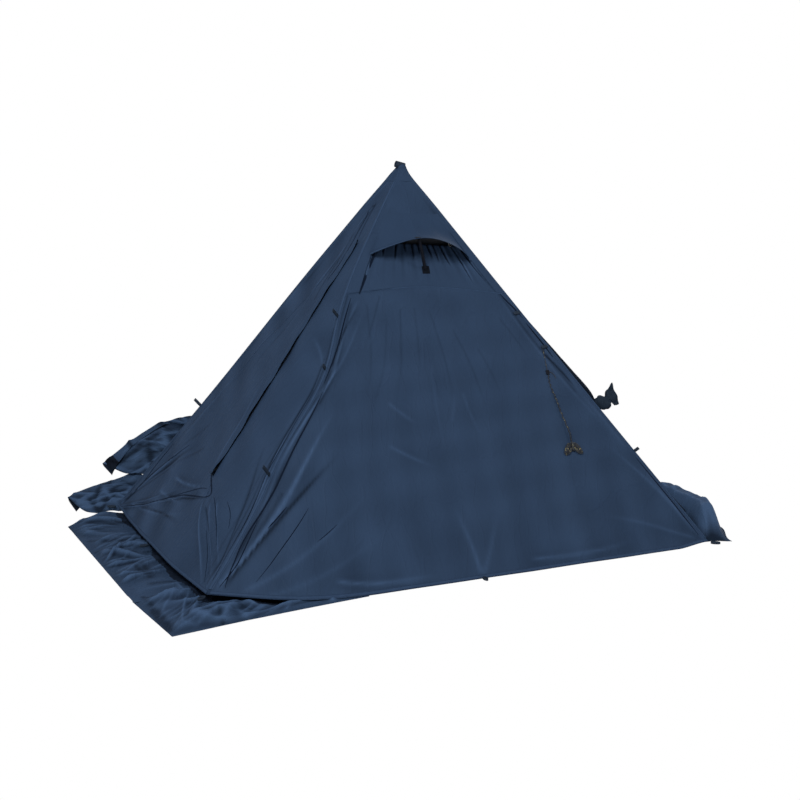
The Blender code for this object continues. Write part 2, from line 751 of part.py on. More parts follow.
def ring_strap(name, root, out, across, size, material, group):
    """Webbing bent into a flat loop: its ends meet at the root and its bight stands off along out."""
    reach, spread, width = size
    side = out.cross(across).normalized()
    count = 14
    centre = root + out * (reach / 2)
    shape = bmesh.new()
    loops = []
    for k in range(count):
        angle = 2 * math.pi * k / count
        arm = out * math.cos(angle) * reach / 2 + side * math.sin(angle) * spread / 2
        spine = (out * math.cos(angle) / reach + side * math.sin(angle) / spread).normalized()
        ring = []
        for level, edge in ((0, -1), (0, 1), (1, 1), (1, -1)):
            point = centre + arm - spine * STRAP_THICKNESS * level + across * edge * width / 2
            ring.append(shape.verts.new(point))
        loops.append(ring)
    for k in range(count):
        here, there = loops[k], loops[(k + 1) % count]
        for j in range(4):
            shape.faces.new((here[j], here[(j + 1) % 4], there[(j + 1) % 4], there[j]))
    bmesh.ops.recalc_face_normals(shape, faces=shape.faces)
    return finish_mesh(name, shape, material, group)


def ridge_spine(corner):
    before, after = ridge_sides(corner)
    return (outward(before) + outward(after)).normalized()


def build_ridge_tabs(material, group):
    """Folded webbing tabs sewn into the ridges for tie-outs."""
    spots = [(corner, 0.76, "lower") for corner in CORNERS]
    spots += [("front_right", 0.39, "upper"), ("rear_right", 0.39, "upper")]
    spots += [("front_right", 0.52, "middle"), ("rear_right", 0.48, "middle")]
    for corner, v, level in spots:
        before, after = ridge_sides(corner)
        spine = ridge_spine(corner)
        middle = (wall_point(before, 1, v) + wall_point(after, 0, v)) / 2
        along = (wall_point(after, 0, v + 0.04) - middle).normalized()
        out = (spine - along * spine.dot(along)).normalized()
        across = along.cross(out)
        root = middle + out * (TAB_ROOT + TAB_REACH / 2)
        place = frame_matrix(root, across, along, out)
        block("ridge_tab_" + level + "_" + corner, TAB_SIZE, place, material, group, 0.0008)


def build_peg_loops(material, group):
    for corner, spot in CORNERS.items():
        out = Vector((spot.x, spot.y, 0)).normalized()
        lift = Vector((0, 0, 0.002))
        before, after = ridge_sides(corner)
        hem = (wall_point(before, 1, 1.0) + wall_point(after, 0, 1.0)) / 2
        root = Vector((hem.x, hem.y, max(hem.z - 0.008, 0.0135))) + out * 0.010 + lift
        across = Vector((0, 0, 1))
        ring_strap("peg_loop_" + corner, root, out, across, CORNER_LOOP, material, group)
    for side in ("front", "right"):
        hem = wall_point(side, 0.5, 1.0)
        out = Vector((outward(side).x, outward(side).y, 0)).normalized()
        root = Vector((hem.x, hem.y, max(hem.z - 0.004, 0.0115))) + out * 0.006
        ring_strap("peg_loop_mid_" + side, root, out, Vector((0, 0, 1)), MID_LOOP, material, group)


# Ground skirt

def hem_root(side, u, inward):
    """Where a skirt is sewn on, just inside the hem and a little above its edge."""
    hem = wall_point(side, u, 1.0)
    flat_out = Vector((outward(side).x, outward(side).y, 0)).normalized()
    return hem - flat_out * inward + Vector((0, 0, SKIRT_ROOT_UP))


def skirt(name, root, inner, outer, columns, rows, wrinkle, lift_at, material, group):
    """Strip of cloth from its sewn root down to an inner line and on to an outer line, given for s from 0 to 1."""
    grid = [[root(k / columns) for k in range(columns + 1)]]
    for j in range(rows + 1):
        t = j / rows
        row = []
        for k in range(columns + 1):
            s = k / columns
            point = inner(s).lerp(outer(s), t)
            wave = 0.5 - 0.5 * math.cos(2 * math.pi * (wrinkle * s + 0.15 * math.sin(3 * t)))
            point.z += SKIRT_WRINKLE * wave * smooth(t / 0.5) * (1 - smooth((t - 0.6) / 0.4)) + lift_at(s, t)
            row.append(point)
        grid.append(row)
    return skirt_sheet(name, grid, material, group)


def standing_skirt(name, lines, along_steps, across_steps, material, group):
    """Strip of cloth through drawn lines of points, from the hem to its free edge."""
    dense = [curve_through([Vector(point) for point in line], along_steps) for line in lines]
    columns = [curve_through(column, across_steps) for column in zip(*dense)]
    grid = [[point.copy() for point in row] for row in zip(*columns)]
    return skirt_sheet(name, grid, material, group)


def skirt_sheet(name, grid, material, group):
    lowest = min(point.z for row in grid for point in row)
    for row in grid:
        for point in row:
            point.z += SKIRT_LIFT - lowest
    return sheet(name, grid, Vector((0, 0, 1)), material, group, SKIRT_CLOTH, 1.0)


def build_skirts(cloth, group):
    def flat(s, t):
        return 0.0

    def front_root(s):
        return hem_root("front", mix(0.02, 0.82, s), SKIRT_ROOT_IN)

    def front_inner(s):
        hem = wall_point("front", mix(0.02, 0.82, s), 1.0)
        return Vector((hem.x, hem.y + SKIRT_TUCK, hem.z * 0.35))

    def front_outer(s):
        return Vector((mix(-0.66, 0.60, s), mix(-1.476, -1.45, s), 0))

    skirt("skirt_front", front_root, front_inner, front_outer, 18, 5, 5, flat, cloth, group)

    def corner_root(s):
        if s < 0.4:
            point = hem_root("front", mix(0.835, 0.985, s / 0.4), SKIRT_ROOT_IN)
            return Vector((min(point.x, 0.772), point.y, point.z))
        along = (s - 0.4) / 0.6
        point = hem_root("right", mix(0.015, 0.20, along), SKIRT_ROOT_IN)
        return Vector((point.x, max(point.y, -1.164), point.z))

    def corner_inner(s):
        if s < 0.4:
            return Vector((mix(0.53, 0.80, s / 0.4), -1.19, 0.03))
        along = (s - 0.4) / 0.6
        hem = wall_point("right", mix(0.004, 0.20, along), 1.0)
        return Vector((hem.x - SKIRT_TUCK, hem.y, mix(0.03, 0.002, along)))

    def corner_outer(s):
        if s < 0.4:
            return Vector((mix(0.63, 1.115, s / 0.4), mix(-1.45, -1.406, s / 0.4), 0))
        along = (s - 0.4) / 0.6
        bow = Vector((-0.028 * math.sin(math.pi * along), 0, 0))
        return Vector((1.115, -1.406, 0)).lerp(Vector((0.965, -0.72, 0)), along) + bow

    skirt("skirt_front_right", corner_root, corner_inner, corner_outer, 20, 4, 3, flat, cloth, group)

    standing_skirt("skirt_left_front", LEFT_FRONT_LINES, 4, 3, cloth, group)
    standing_skirt("skirt_left_rear", LEFT_REAR_LINES, 4, 3, cloth, group)

    def rear_root(s):
        return hem_root("rear", mix(0.03, 0.97, s), SKIRT_ROOT_IN)

    def rear_inner(s):
        hem = wall_point("rear", mix(0.03, 0.97, s), 1.0)
        return Vector((hem.x, hem.y - SKIRT_TUCK, hem.z * 0.3))

    def rear_outer(s):
        return Vector((mix(0.79, -0.80, s), 1.345 + 0.10 * smooth(s / 0.16), 0))

    def rear_bulge(s, t):
        rise = smooth((t - 0.18) / 0.26) * (1 - smooth((t - 0.6) / 0.4))
        return REAR_BULGE * rise * smooth((s + 0.03) / 0.10) * (1 - smooth((s - 0.32) / 0.3))

    skirt("skirt_rear", rear_root, rear_inner, rear_outer, 22, 5, 5, rear_bulge, cloth, group)


# Rear door, rolled up beside its ridge

def roll_centre(v):
    droop = ROLL_DROOP * smooth((v - TIE_V) / 0.1) * (1 - 0.6 * smooth((v - 0.84) / 0.1))
    inset = 0.040 + 0.010 * bump(v, 0.5, 0.2) + droop
    return wall_point("rear", u_inset("rear", v, inset), v)


def roll_radius(v):
    body = mix(0.006, 0.024, smooth((v - 0.21) / 0.3))
    waist = 0.010 * bump(v, TIE_V, 0.022)
    below = 0.008 * smooth((v - TIE_V) / 0.06) + 0.004 * smooth((v - 0.8) / 0.1)
    return body - waist - below


def roll_frame(v):
    """Centre of the roll, its direction and the direction across it."""
    normal = outward("rear")
    along = (roll_centre(v + 0.01) - roll_centre(v - 0.01)).normalized()
    centre = roll_centre(v) + normal * (roll_radius(v) * ROLL_FLATTEN + ROLL_LIFT)
    return centre, along, along.cross(normal).normalized()


def build_rear_door(cloth, webbing, group):
    normal = outward("rear")
    steps, sides = 26, 10
    rings = []
    for k in range(steps + 1):
        v = mix(0.225, 0.94, k / steps)
        centre, along, across = roll_frame(v)
        ring = []
        for j in range(sides):
            angle = 2 * math.pi * j / sides
            radius = roll_radius(v) * (1 + 0.10 * math.sin(3 * angle + 9 * v))
            outer = normal * roll_radius(v) * ROLL_FLATTEN * math.sin(angle)
            ring.append(centre + across * radius * math.cos(angle) + outer)
        rings.append(ring)
    loft("rear_door_roll", rings, cloth, group)
    centre, along, across = roll_frame(TIE_V)
    knot = centre + normal * (roll_radius(TIE_V) * 0.95 + 0.0040)
    block("rear_door_tie", TIE_SIZE, frame_matrix(knot, across, along, normal), webbing, group, 0.0008)
    tail = []
    for away, half, thick in TAIL_RINGS:
        middle = knot + normal * away - along * away * TAIL_DROP
        corners = ((-1, -1), (1, -1), (1, 1), (-1, 1))
        tail.append([middle + along * half * a + across * thick * b for a, b in corners])
    loft("rear_door_tail", tail, cloth, group)


# Centre pole

def build_pole(metal, dark, rubber, group):
    bore = POLE_RADIUS - POLE_WALL
    names = ("pole_lower_section", "pole_middle_section", "pole_upper_section")
    for k, name in enumerate(names):
        low, high = POLE_JOINTS[k], POLE_JOINTS[k + 1]
        if k < 2:
            spigot = bore - SPIGOT_CLEARANCE
            inner = spigot - SPIGOT_WALL
            profile = [(inner, high + SPIGOT), (spigot, high + SPIGOT), (spigot, high - POLE_FIT),
                       (POLE_RADIUS, high - POLE_FIT), (POLE_RADIUS, low), (bore, low), (bore, high - 0.02),
                       (inner, high - 0.01)]
        else:
            socket = TIP_STEM + SPIGOT_CLEARANCE
            profile = [(socket, high), (POLE_RADIUS, high), (POLE_RADIUS, low), (bore, low),
                       (bore, high - 0.02), (socket, high - 0.012)]
        turned(name, profile, metal, group)
    tip = POLE_JOINTS[3]
    tip_profile = [(0, tip + 0.040), (0.0035, tip + 0.0385), (TIP_STEM, tip + 0.030), (TIP_STEM, tip + 0.008),
                   (TIP_FLANGE, tip + 0.007), (TIP_FLANGE, tip + POLE_FIT), (TIP_STEM, tip + POLE_FIT),
                   (TIP_STEM, tip - 0.018), (0, tip - 0.018)]
    turned("pole_tip", tip_profile, dark, group)
    foot = POLE_JOINTS[0]
    sleeve = POLE_RADIUS + SPIGOT_CLEARANCE
    foot_profile = [(sleeve, foot + 0.030), (0.0155, foot + 0.030), (FOOT_RADIUS, 0.006), (FOOT_RADIUS, 0.0),
                    (0, 0.0), (0, foot - POLE_FIT), (sleeve, foot - POLE_FIT)]
    turned("pole_foot", foot_profile, rubber, group)


# Guy line with its slider and hank

def guy_point(drop, sideways, lift=0.0):
    """Point of the line's centre where it lies on the long side, below its tab."""
    v = GUY_TOP_V + drop / (APEX - CORNERS["front_right"].lerp(CORNERS["rear_right"], 0.5)).length
    width = GUY_Y + sideways
    return wall_point("right", (width / (v * HALF_LENGTH) + 1) / 2, v, GUY_LIFT + lift)


def hank_path():
    """Loops spiral in on the wall's side, climb one layer and spiral out again."""
    per_layer = HANK_LOOPS // HANK_LAYERS
    points_per_loop = 24
    total = HANK_LOOPS * points_per_loop
    path = []
    for k in range(total + 1):
        turn = k / points_per_loop
        angle = 2 * math.pi * turn + math.pi / 2
        inward = min(turn, HANK_LOOPS - turn)
        ring = per_layer - inward
        climb = smooth((turn - per_layer + 0.25) / 0.5)
        half_height = HANK_INNER + HANK_STEP * max(ring, 0.0)
        half_run = HANK_HALF_RUN + HANK_TAPER * ring
        x = half_run * math.cos(angle)
        y = half_height * math.copysign(abs(math.sin(angle)) ** 0.8, math.sin(angle))
        y *= 1 - HANK_WAIST * bump(x, 0.0, 0.014)
        y -= HANK_DROOP * (math.sqrt(x * x + 0.0001) - 0.01)
        path.append((x, y, climb * LAYER_STEP))
    return path


def curve_through(points, steps):
    """Smooth curve through a cord's own points."""
    padded = [2 * points[0] - points[1], *points, 2 * points[-1] - points[-2]]
    out = []
    for a, b, c, d in zip(padded, padded[1:], padded[2:], padded[3:]):
        for k in range(steps):
            t = k / steps
            out.append(0.5 * ((2 * b) + (c - a) * t + (2 * a - 5 * b + 4 * c - d) * t * t
                              + (3 * b - a - 3 * c + d) * t ** 3))
    out.append(points[-1])
    return out


def build_guy_line(cord, plastic, group, cutters):
    normal = outward("right")
    radius = CORD_DIAMETER / 2
    loops = [guy_point(HANK_DROP - y, x, z) for x, y, z in hank_path()]
    up = (guy_point(0, 0) - guy_point(0.1, 0)).normalized()
    across = up.cross(normal)
    hank = [loops[0] + up * 0.010, *loops]
    gap = least_gap(hank, CORD_DIAMETER)
    print("hank length", round(path_length(hank), 3), "least gap to itself", round(gap * 1000, 2), "mm")
    tube("guy_line_hank", hank, radius, 1, cord, group)
    join = hank[0] + up * 0.0004
    route = [guy_point(0, 0), guy_point(0.04, 0), guy_point(GUY_SLIDER_DROP, 0), guy_point(0.16, 0),
             guy_point(0.23, -0.004), guy_point(0.29, -0.003), join + up * 0.045, join + up * 0.012, join]
    line = curve_through(route, 5)
    print("guy line stretch", round(path_length(line), 3))
    tube("guy_line_stretch", line, radius, 2, cord, group)
    centre = guy_point(GUY_SLIDER_DROP, 0.0)
    place = frame_matrix(centre, across, up, normal)
    slider = block("guy_line_slider", GUY_SLIDER_SIZE, place, plastic, group, 0.0012)
    bore_place = place @ Matrix.Rotation(math.pi / 2, 4, "X")
    bore = rod("guy_slider_bore", radius + 0.0005, 0.05, bore_place, plastic, group, 16)
    combine(slider, bore, "DIFFERENCE", cutters)


def path_length(points):
    return sum((b - a).length for a, b in zip(points, points[1:]))


def least_gap(points, diameter):
    """Least clear distance between stretches of a cord that aren't neighbours along it."""
    best = 1.0
    for i, a in enumerate(points):
        for b in points[i + NEIGHBOURS:]:
            best = min(best, (a - b).length)
    return best - diameter


def main():
    clear_scene()
    group = make_collection("Pyramid tent")
    cutters = make_collection("Cutters")
    cloth = make_material("Fly fabric", (0.035, 0.065, 0.110), 0.55)
    inner = make_material("Coated inner face", (0.010, 0.011, 0.014), 0.6)
    skirt_cloth = make_material("Skirt fabric", (0.040, 0.072, 0.118), 0.6)
    net = make_material("Vent mesh", (0.006, 0.008, 0.012), 0.8)
    black = make_material("Black trim", (0.010, 0.012, 0.018), 0.5)
    webbing = make_material("Webbing", (0.018, 0.026, 0.040), 0.75)
    metal = make_material("Pole aluminium", (0.42, 0.43, 0.45), 0.35, 1.0)
    zip_metal = make_material("Zip slider", (0.05, 0.055, 0.065), 0.4, 0.6)
    rubber = make_material("Rubber", (0.015, 0.015, 0.016), 0.8)
    cord = make_material("Guy cord", (0.016, 0.026, 0.034), 0.7)

    for side in ("front", "rear"):
        build_gable(side, cloth, group)
        zip_tape(side + "_zip_tape_fixed", side, 1, black, group)
    door_rows = rows_between(DOOR_TOP_V, DOOR_LOW_V)
    door = wall_panel("front_door_panel", "front", door_rows, door_left, door_right, 6, cloth, group)
    tape = zip_tape("front_zip_tape_door", "front", -1, black, group)
    flap = storm_flap("front_storm_flap", "front", cloth, group)
    for piece in (door, tape, flap):
        put_origin(piece, wall_point("front", ZIP_TOP_U, ZIP_TOP_V))
    zip_slider("front_zip_slider", "front", 0.0, zip_metal, group, cutters)
    zip_pull("front_zip_pull", "front", 0.0, zip_metal, group, cutters)
    zip_slider("rear_zip_slider", "rear", 1.0, zip_metal, group, cutters)
    build_vent(cloth, net, black, group)
    build_prop(black, group)
    build_right_wall(cloth, group)
    build_left_wall(cloth, group)
    build_ridges(cloth, group)
    build_apex(cloth, webbing, group)
    build_ridge_tabs(webbing, group)
    build_peg_loops(webbing, group)
    build_skirts(skirt_cloth, group)
    build_rear_door(inner, webbing, group)
    build_pole(metal, black, rubber, group)
    build_guy_line(cord, black, group, cutters)


main()
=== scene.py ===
"""Looks of the pyramid tent: folded cloth, seams, cord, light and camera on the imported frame."""

import math

import bpy
import numpy as np
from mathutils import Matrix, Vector


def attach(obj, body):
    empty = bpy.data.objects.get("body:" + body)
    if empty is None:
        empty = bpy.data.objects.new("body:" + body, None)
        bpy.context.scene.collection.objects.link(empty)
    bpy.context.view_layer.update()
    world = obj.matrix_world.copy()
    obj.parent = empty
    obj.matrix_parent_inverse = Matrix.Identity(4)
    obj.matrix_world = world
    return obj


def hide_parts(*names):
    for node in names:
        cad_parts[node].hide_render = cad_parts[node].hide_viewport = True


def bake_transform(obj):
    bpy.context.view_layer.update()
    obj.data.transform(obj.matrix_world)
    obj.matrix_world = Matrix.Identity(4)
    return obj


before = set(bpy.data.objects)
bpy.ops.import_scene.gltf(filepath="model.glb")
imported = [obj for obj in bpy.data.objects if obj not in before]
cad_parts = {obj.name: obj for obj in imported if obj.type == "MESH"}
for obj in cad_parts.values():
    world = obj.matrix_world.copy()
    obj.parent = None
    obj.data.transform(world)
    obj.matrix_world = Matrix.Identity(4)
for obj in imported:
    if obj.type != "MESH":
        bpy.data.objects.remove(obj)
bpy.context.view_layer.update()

FLY = "fly_and_pole"
DOOR = "front_door"

# Size of the pitched fly, in metres
FLY_LENGTH = 2.4
FLY_WIDTH = 1.62
APEX_HEIGHT = 1.735
HEM_FRONT_LEFT = 0.045
HEM_FRONT_RIGHT = 0.07
HEM_REAR_RIGHT = 0.02
HEM_REAR_LEFT = 0.03
HEM_GROUND = 0.004
HEM_LANDS_AT = 0.3
MID_PULL_LEFT = 0.05
MID_PULL_RIGHT = 0.17
MID_PULL_SHORT = 0.03

# Door cut, as fractions along the hem (u) and from apex to hem (v)
ZIP_TOP_U = 0.7
ZIP_TOP_V = 0.2
ZIP_LOW_U = 0.615
ZIP_LOW_V = 0.8
FOOT_U = 0.675
FOOT_V = 0.85
ZIP_TAPE = 0.011
DOOR_GAP = 0.003
WALL_TOP_V = 0.03
ZIP_END = 0.004
ZIP_HEAD = 0.014
TOOTH_PITCH = 0.0025

# Vent
HOOD_BEND_V = 0.13
HOOD_EDGE_V = 0.235
HOOD_OPEN = math.radians(37)
HOOD_FLAT_U = 0.085
CURTAIN_TOP_V = 0.2
CURTAIN_LOW_V = 0.336
CURTAIN_RISE = 0.02
PLEATS = 12
PLEAT_DEPTH = 0.013
# Slits between pleats: place along the curtain, how far down they reach, and depth
SLITS = (
    (0.085, 1.02, 0.012), (0.19, 0.34, 0.012), (0.31, 0.42, 0.013), (0.395, 0.24, 0.009),
    (0.465, 0.4, 0.012), (0.53, 0.3, 0.009), (0.62, 0.38, 0.011), (0.67, 0.46, 0.01),
    (0.75, 0.55, 0.013), (0.85, 0.9, 0.014), (0.935, 0.85, 0.012),
)
# Strips beside the curtain: u of the inner edge at its top and foot, and of the outer edge
VENT_SIDES = (("Vent_left_side", 0.1, 0.086, 0.006), ("Vent_right_side", 0.925, 0.945, 0.994))

# Guy line
CORD_DIAMETER = 0.003
GUY_TOP_V = 0.495
GUY_Y = 0.545
GUY_LIFT = 0.0046
GUY_SLIDER_DROP = 0.1
HANK_LOOPS = 10
HANK_LAYERS = 2
HANK_STEP = 0.0062
LAYER_STEP = 0.0037
HANK_DROP = 0.45
HANK_HALF_RUN = 0.029
HANK_INNER = 0.0045
HANK_WAIST = 0.5
HANK_DROOP = 0.8
HANK_FLAT = 0.72
HANK_ASIDE = 0.046
TWIST_TURNS = 15
TWIST_RADIUS = 0.0034
WRAP_TURNS = 3
WRAP_HALF_HEIGHT = 0.0215
WRAP_HALF_DEPTH = 0.0068

# Cloth, seams and webbing
CLOTH = 0.0008
SEAM_HALF_WIDTH = 0.012
HEM_WIDTH = 0.016
STRAP = 0.0015
STRAP_STEPS = 40
TAB_LENGTHS = {
    ("front_right", "lower"): 0.085, ("front_right", "upper"): 0.07, ("front_right", "middle"): 0.04,
    ("front_left", "lower"): 0.045, ("rear_right", "upper"): 0.04, ("rear_right", "middle"): 0.04,
}
# Ridge tabs: corner, place down the ridge, and level
TABS = (
    ("front_left", 0.69, "lower"), ("front_right", 0.76, "lower"), ("rear_right", 0.76, "lower"),
    ("rear_left", 0.76, "lower"), ("front_right", 0.39, "upper"), ("rear_right", 0.39, "upper"),
    ("front_right", 0.52, "middle"), ("rear_right", 0.48, "middle"),
)
SKIRT_TUCK = 0.045
SKIRT_ROOT_IN = 0.07
SKIRT_ROOT_UP = 0.006
REAR_BULGE = 0.15
SHADE_DEPTH = 0.055
SKIRT_WRINKLES = 34
SKIRT_FOLDS_PER_METRE = 9
CRUMPLES_PER_METRE = 130
# Painted shade along the skirt's creases: a line of (x, y), half width and darkness
SKIRT_FOLDS = (
    (((0.6, -1.4), (0.64, -1.38), (0.65, -1.3), (0.66, -1.21)), 0.01, 0.9),
    (((0.63, -1.4), (0.74, -1.39)), 0.012, 0.7), (((0.81, -1.4), (0.91, -1.39), (1.04, -1.4)), 0.022, 0.9),
    (((0.78, -1.4), (0.95, -1.41)), 0.014, 0.8),
    (((-0.15, -1.44), (-0.14, -1.34), (-0.14, -1.26)), 0.012, 0.7),
    (((0.15, -1.35), (0.24, -1.33), (0.35, -1.31)), 0.014, 0.7),
    (((0.04, -1.38), (0.1, -1.34), (0.22, -1.3), (0.36, -1.31)), 0.018, 0.6),
    (((-0.35, -1.43), (-0.26, -1.36), (-0.25, -1.29)), 0.014, 0.6),
    (((-0.66, -1.42), (-0.54, -1.34), (-0.58, -1.23)), 0.016, 0.5),
    (((0.46, -1.33), (0.46, -1.25), (0.53, -1.2)), 0.018, 0.7),
    (((0.82, -1.15), (0.92, -1.17), (1.05, -1.19)), 0.01, 0.7), (((0.89, -1.09), (0.96, -1.05)), 0.01, 0.5),
)
# Standing skirts on the left, as lines of (x, y, z) from the sewn root to the free edge
LEFT_FRONT_LINES = (
    ((-0.798, -1.197, 0.0155), (-0.804, -1.11, 0.0155), (-0.809, -1.03, 0.0155), (-0.813, -0.965, 0.0155)),
    ((-0.845, -1.235, 0.012), (-0.85, -1.13, 0.055), (-0.855, -1.05, 0.06), (-0.86, -0.985, 0.05)),
    ((-0.9, -1.345, 0.0), (-0.955, -1.21, 0.085), (-0.945, -1.09, 0.115), (-0.925, -1.01, 0.125)),
    ((-1.06, -1.4, 0.04), (-1.065, -1.29, 0.088), (-1.035, -1.16, 0.122), (-0.985, -1.06, 0.172)),
    ((-0.935, -1.385, 0.001), (-1.025, -1.285, 0.058), (-1.02, -1.155, 0.112), (-0.978, -1.055, 0.155)),
)
LEFT_REAR_LINES = (
    ((-0.817, -0.9, 0.0152), (-0.826, -0.75, 0.0148), (-0.836, -0.56, 0.0143), (-0.843, -0.36, 0.0139),
     (-0.847, -0.16, 0.0135), (-0.848, 0.05, 0.013)),
    ((-0.868, -0.93, 0.075), (-0.88, -0.79, 0.085), (-0.885, -0.61, 0.09), (-0.895, -0.4, 0.08),
     (-0.91, -0.18, 0.05), (-0.915, 0.04, 0.008)),
    ((-0.925, -1.01, 0.155), (-0.935, -0.87, 0.195), (-0.935, -0.69, 0.215), (-0.94, -0.48, 0.2),
     (-0.965, -0.25, 0.12), (-0.98, 0.02, 0.005)),
    ((-1.005, -1.115, 0.158), (-1.0, -0.985, 0.265), (-0.975, -0.8, 0.33), (-0.96, -0.59, 0.33),
     (-0.99, -0.33, 0.2), (-1.04, 0.0, 0.003)),
    ((-1.1, -1.21, 0.198), (-1.075, -1.075, 0.298), (-1.02, -0.9, 0.405), (-0.975, -0.7, 0.425),
     (-1.01, -0.42, 0.28), (-1.09, -0.02, 0.0)),
    ((-1.04, -1.18, 0.15), (-1.055, -1.07, 0.275), (-1.01, -0.897, 0.394), (-0.968, -0.697, 0.415),
     (-1.004, -0.42, 0.27), (-1.084, -0.02, 0.0)),
)
# Painted shade at the turned-over end of the standing skirts' free edge, in grid columns and rows
TIP_COLUMNS = 7
TIP_ROWS = 12

# Rolled rear door
TIE_V = 0.655
# Rings of the roll's flared free end: distance from the tie and half width
TAIL_RINGS = ((0.002, 0.018), (0.014, 0.032), (0.032, 0.039), (0.048, 0.036), (0.058, 0.028), (0.066, 0.029),
              (0.08, 0.04), (0.098, 0.047), (0.11, 0.047))
TAIL_DROP = -0.16
TAIL_LEAN = -0.32
ROLL_DROOP = 0.07

APEX = np.array([0.0, 0.0, APEX_HEIGHT])
HALF_WIDTH = FLY_WIDTH / 2
HALF_LENGTH = FLY_LENGTH / 2
CORNERS = {
    "front_left": np.array([-HALF_WIDTH, -HALF_LENGTH, HEM_FRONT_LEFT]),
    "front_right": np.array([HALF_WIDTH, -HALF_LENGTH, HEM_FRONT_RIGHT]),
    "rear_right": np.array([HALF_WIDTH, HALF_LENGTH, HEM_REAR_RIGHT]),
    "rear_left": np.array([-HALF_WIDTH, HALF_LENGTH, HEM_REAR_LEFT]),
}
SIDES = {
    "front": ("front_left", "front_right"),
    "right": ("front_right", "rear_right"),
    "rear": ("rear_right", "rear_left"),
    "left": ("rear_left", "front_left"),
}


def smooth(t):
    t = np.clip(t, 0.0, 1.0)
    return t * t * (3 - 2 * t)


def bump(t, centre, spread):
    return np.exp(-(((t - centre) / spread) ** 2))


def mix(a, b, t):
    return a + (b - a) * t


def unit(vector):
    vector = np.asarray(vector, float)
    return vector / np.linalg.norm(vector)


def named_draws(name):
    """Random draws that belong to a name."""
    return np.random.default_rng(sum(map(ord, name)))


# Shape of the tensioned fly: the part's, with ridges and hem drawn a little further to the photo's outline

def hem_length(side):
    start, end = SIDES[side]
    return np.linalg.norm(CORNERS[end] - CORNERS[start])


def slope_length(side):
    start, end = SIDES[side]
    return np.linalg.norm(APEX - (CORNERS[start] + CORNERS[end]) / 2)


def outward(side):
    start, end = SIDES[side]
    return unit(np.cross(CORNERS[end] - CORNERS[start], APEX - CORNERS[start]))


def flat_out(side):
    """Direction out of a side along the ground."""
    return unit([*outward(side)[:2], 0])


def ridge_shift(corner, v):
    """How far a ridge seam leaves the straight line from the apex to its corner."""
    v = np.asarray(v, float)[..., None]
    inward = unit([-CORNERS[corner][0], -CORNERS[corner][1], 0])
    if corner == "front_right":
        pull = 0.085 * bump(v, 0.55, 0.15) + 0.035 * smooth((v - 0.15) / 0.6)
        pull = pull - 0.021 * smooth((v - 0.93) / 0.07) + 0.03 * bump(v, 0.82, 0.1)
        return unit([-0.25, 1.0, 0]) * pull
    if corner == "front_left":
        return inward * -0.018 * smooth(v / 0.03) * (1 - smooth((v - 0.25) / 0.45))
    if corner == "rear_right":
        return inward * 0.006 * np.sin(math.pi * v)
    return inward * 0.022 * np.sin(math.pi * v)


def hem_shift(side, u, v):
    """The hem is pegged out at mid side, and the long side lies down on the ground."""
    if side == "right":
        pull = MID_PULL_RIGHT * v ** 5 * (1 - u) * np.sin(math.pi / 2 * np.minimum(u / 0.18, 1))
    elif side == "left":
        pull = MID_PULL_LEFT * v ** 5 * np.sin(math.pi * u)
    else:
        pull = MID_PULL_SHORT * smooth((v - ZIP_LOW_V) / 0.25) * np.sin(math.pi * u)
    shift = flat_out(side) * pull[..., None]
    if side == "right":
        drop = mix(0.3, 1.0, smooth(u / HEM_LANDS_AT)) * (1 - smooth((u - 0.93) / 0.07))
        height = mix(HEM_FRONT_RIGHT, HEM_REAR_RIGHT, u) - HEM_GROUND
        shift[..., 2] -= height * drop * v ** 8
    if side == "front":
        shift[..., 2] -= 0.3 * (HEM_FRONT_RIGHT - HEM_GROUND) * smooth((u - 0.5) / 0.5) * v ** 8
    return shift


def wall(side, u, v, lift=0.0):
    """Points of a wall's outer face: u along the hem, v from the apex down to the hem."""
    start, end = SIDES[side]
    u, v = np.broadcast_arrays(np.asarray(u, float), np.asarray(v, float))
    foot = CORNERS[start] + (CORNERS[end] - CORNERS[start]) * u[..., None]
    flat = APEX + (foot - APEX) * v[..., None]
    if side == "front":
        weight_start, weight_end = np.maximum(1 - u / 0.12, 0), smooth((u - 0.72) / 0.28)
    elif side == "rear":
        weight_start, weight_end = smooth((0.2 - u) / 0.2), smooth((u - 0.75) / 0.25)
    else:
        weight_start, weight_end = (1 - u) ** 2, u ** 2
    point = flat + ridge_shift(start, v) * weight_start[..., None]
    point = point + ridge_shift(end, v) * weight_end[..., None]
    sag = np.zeros_like(u)
    if side in ("left", "right"):
        sag = 0.016 * np.sin(math.pi * u) * np.sin(math.pi * np.minimum(v, 1.0)) ** 2
        beside_ridge = bump(u - 0.35 * v, 0.05, 0.05)
        sag += 0.01 * beside_ridge * smooth((v - 0.4) / 0.2) * (1 - smooth((v - 0.9) / 0.1))
        sag *= smooth((v - 0.34) / 0.1)
    return point + hem_shift(side, u, v) + outward(side) * (lift - sag)[..., None]


def inset(side, v, distance):
    return distance / (v * hem_length(side))


def flat_place(side, u, v):
    """Where a point of a wall lies in its flat cloth: across from the middle, and down from the apex."""
    return (u - 0.5) * v * hem_length(side), v * slope_length(side) * np.ones_like(u)


def flat_uv(side, u, v):
    return np.stack(flat_place(side, u, v), axis=-1)


def strip_uv(across, along):
    """UVs in metres of a strip, from the places across it and along it."""
    return np.stack(np.broadcast_arrays(across[None, :], along[:, None]), axis=-1)


def unit_rows(vectors):
    return vectors / np.linalg.norm(vectors, axis=-1, keepdims=True)


def directions(points):
    """Unit direction of travel at each point of a route."""
    return unit_rows(np.gradient(points, axis=0))


def travelled(points):
    """Distance from the start of a route to each of its points."""
    return np.concatenate([[0], np.cumsum(np.linalg.norm(np.diff(points, axis=0), axis=1))])


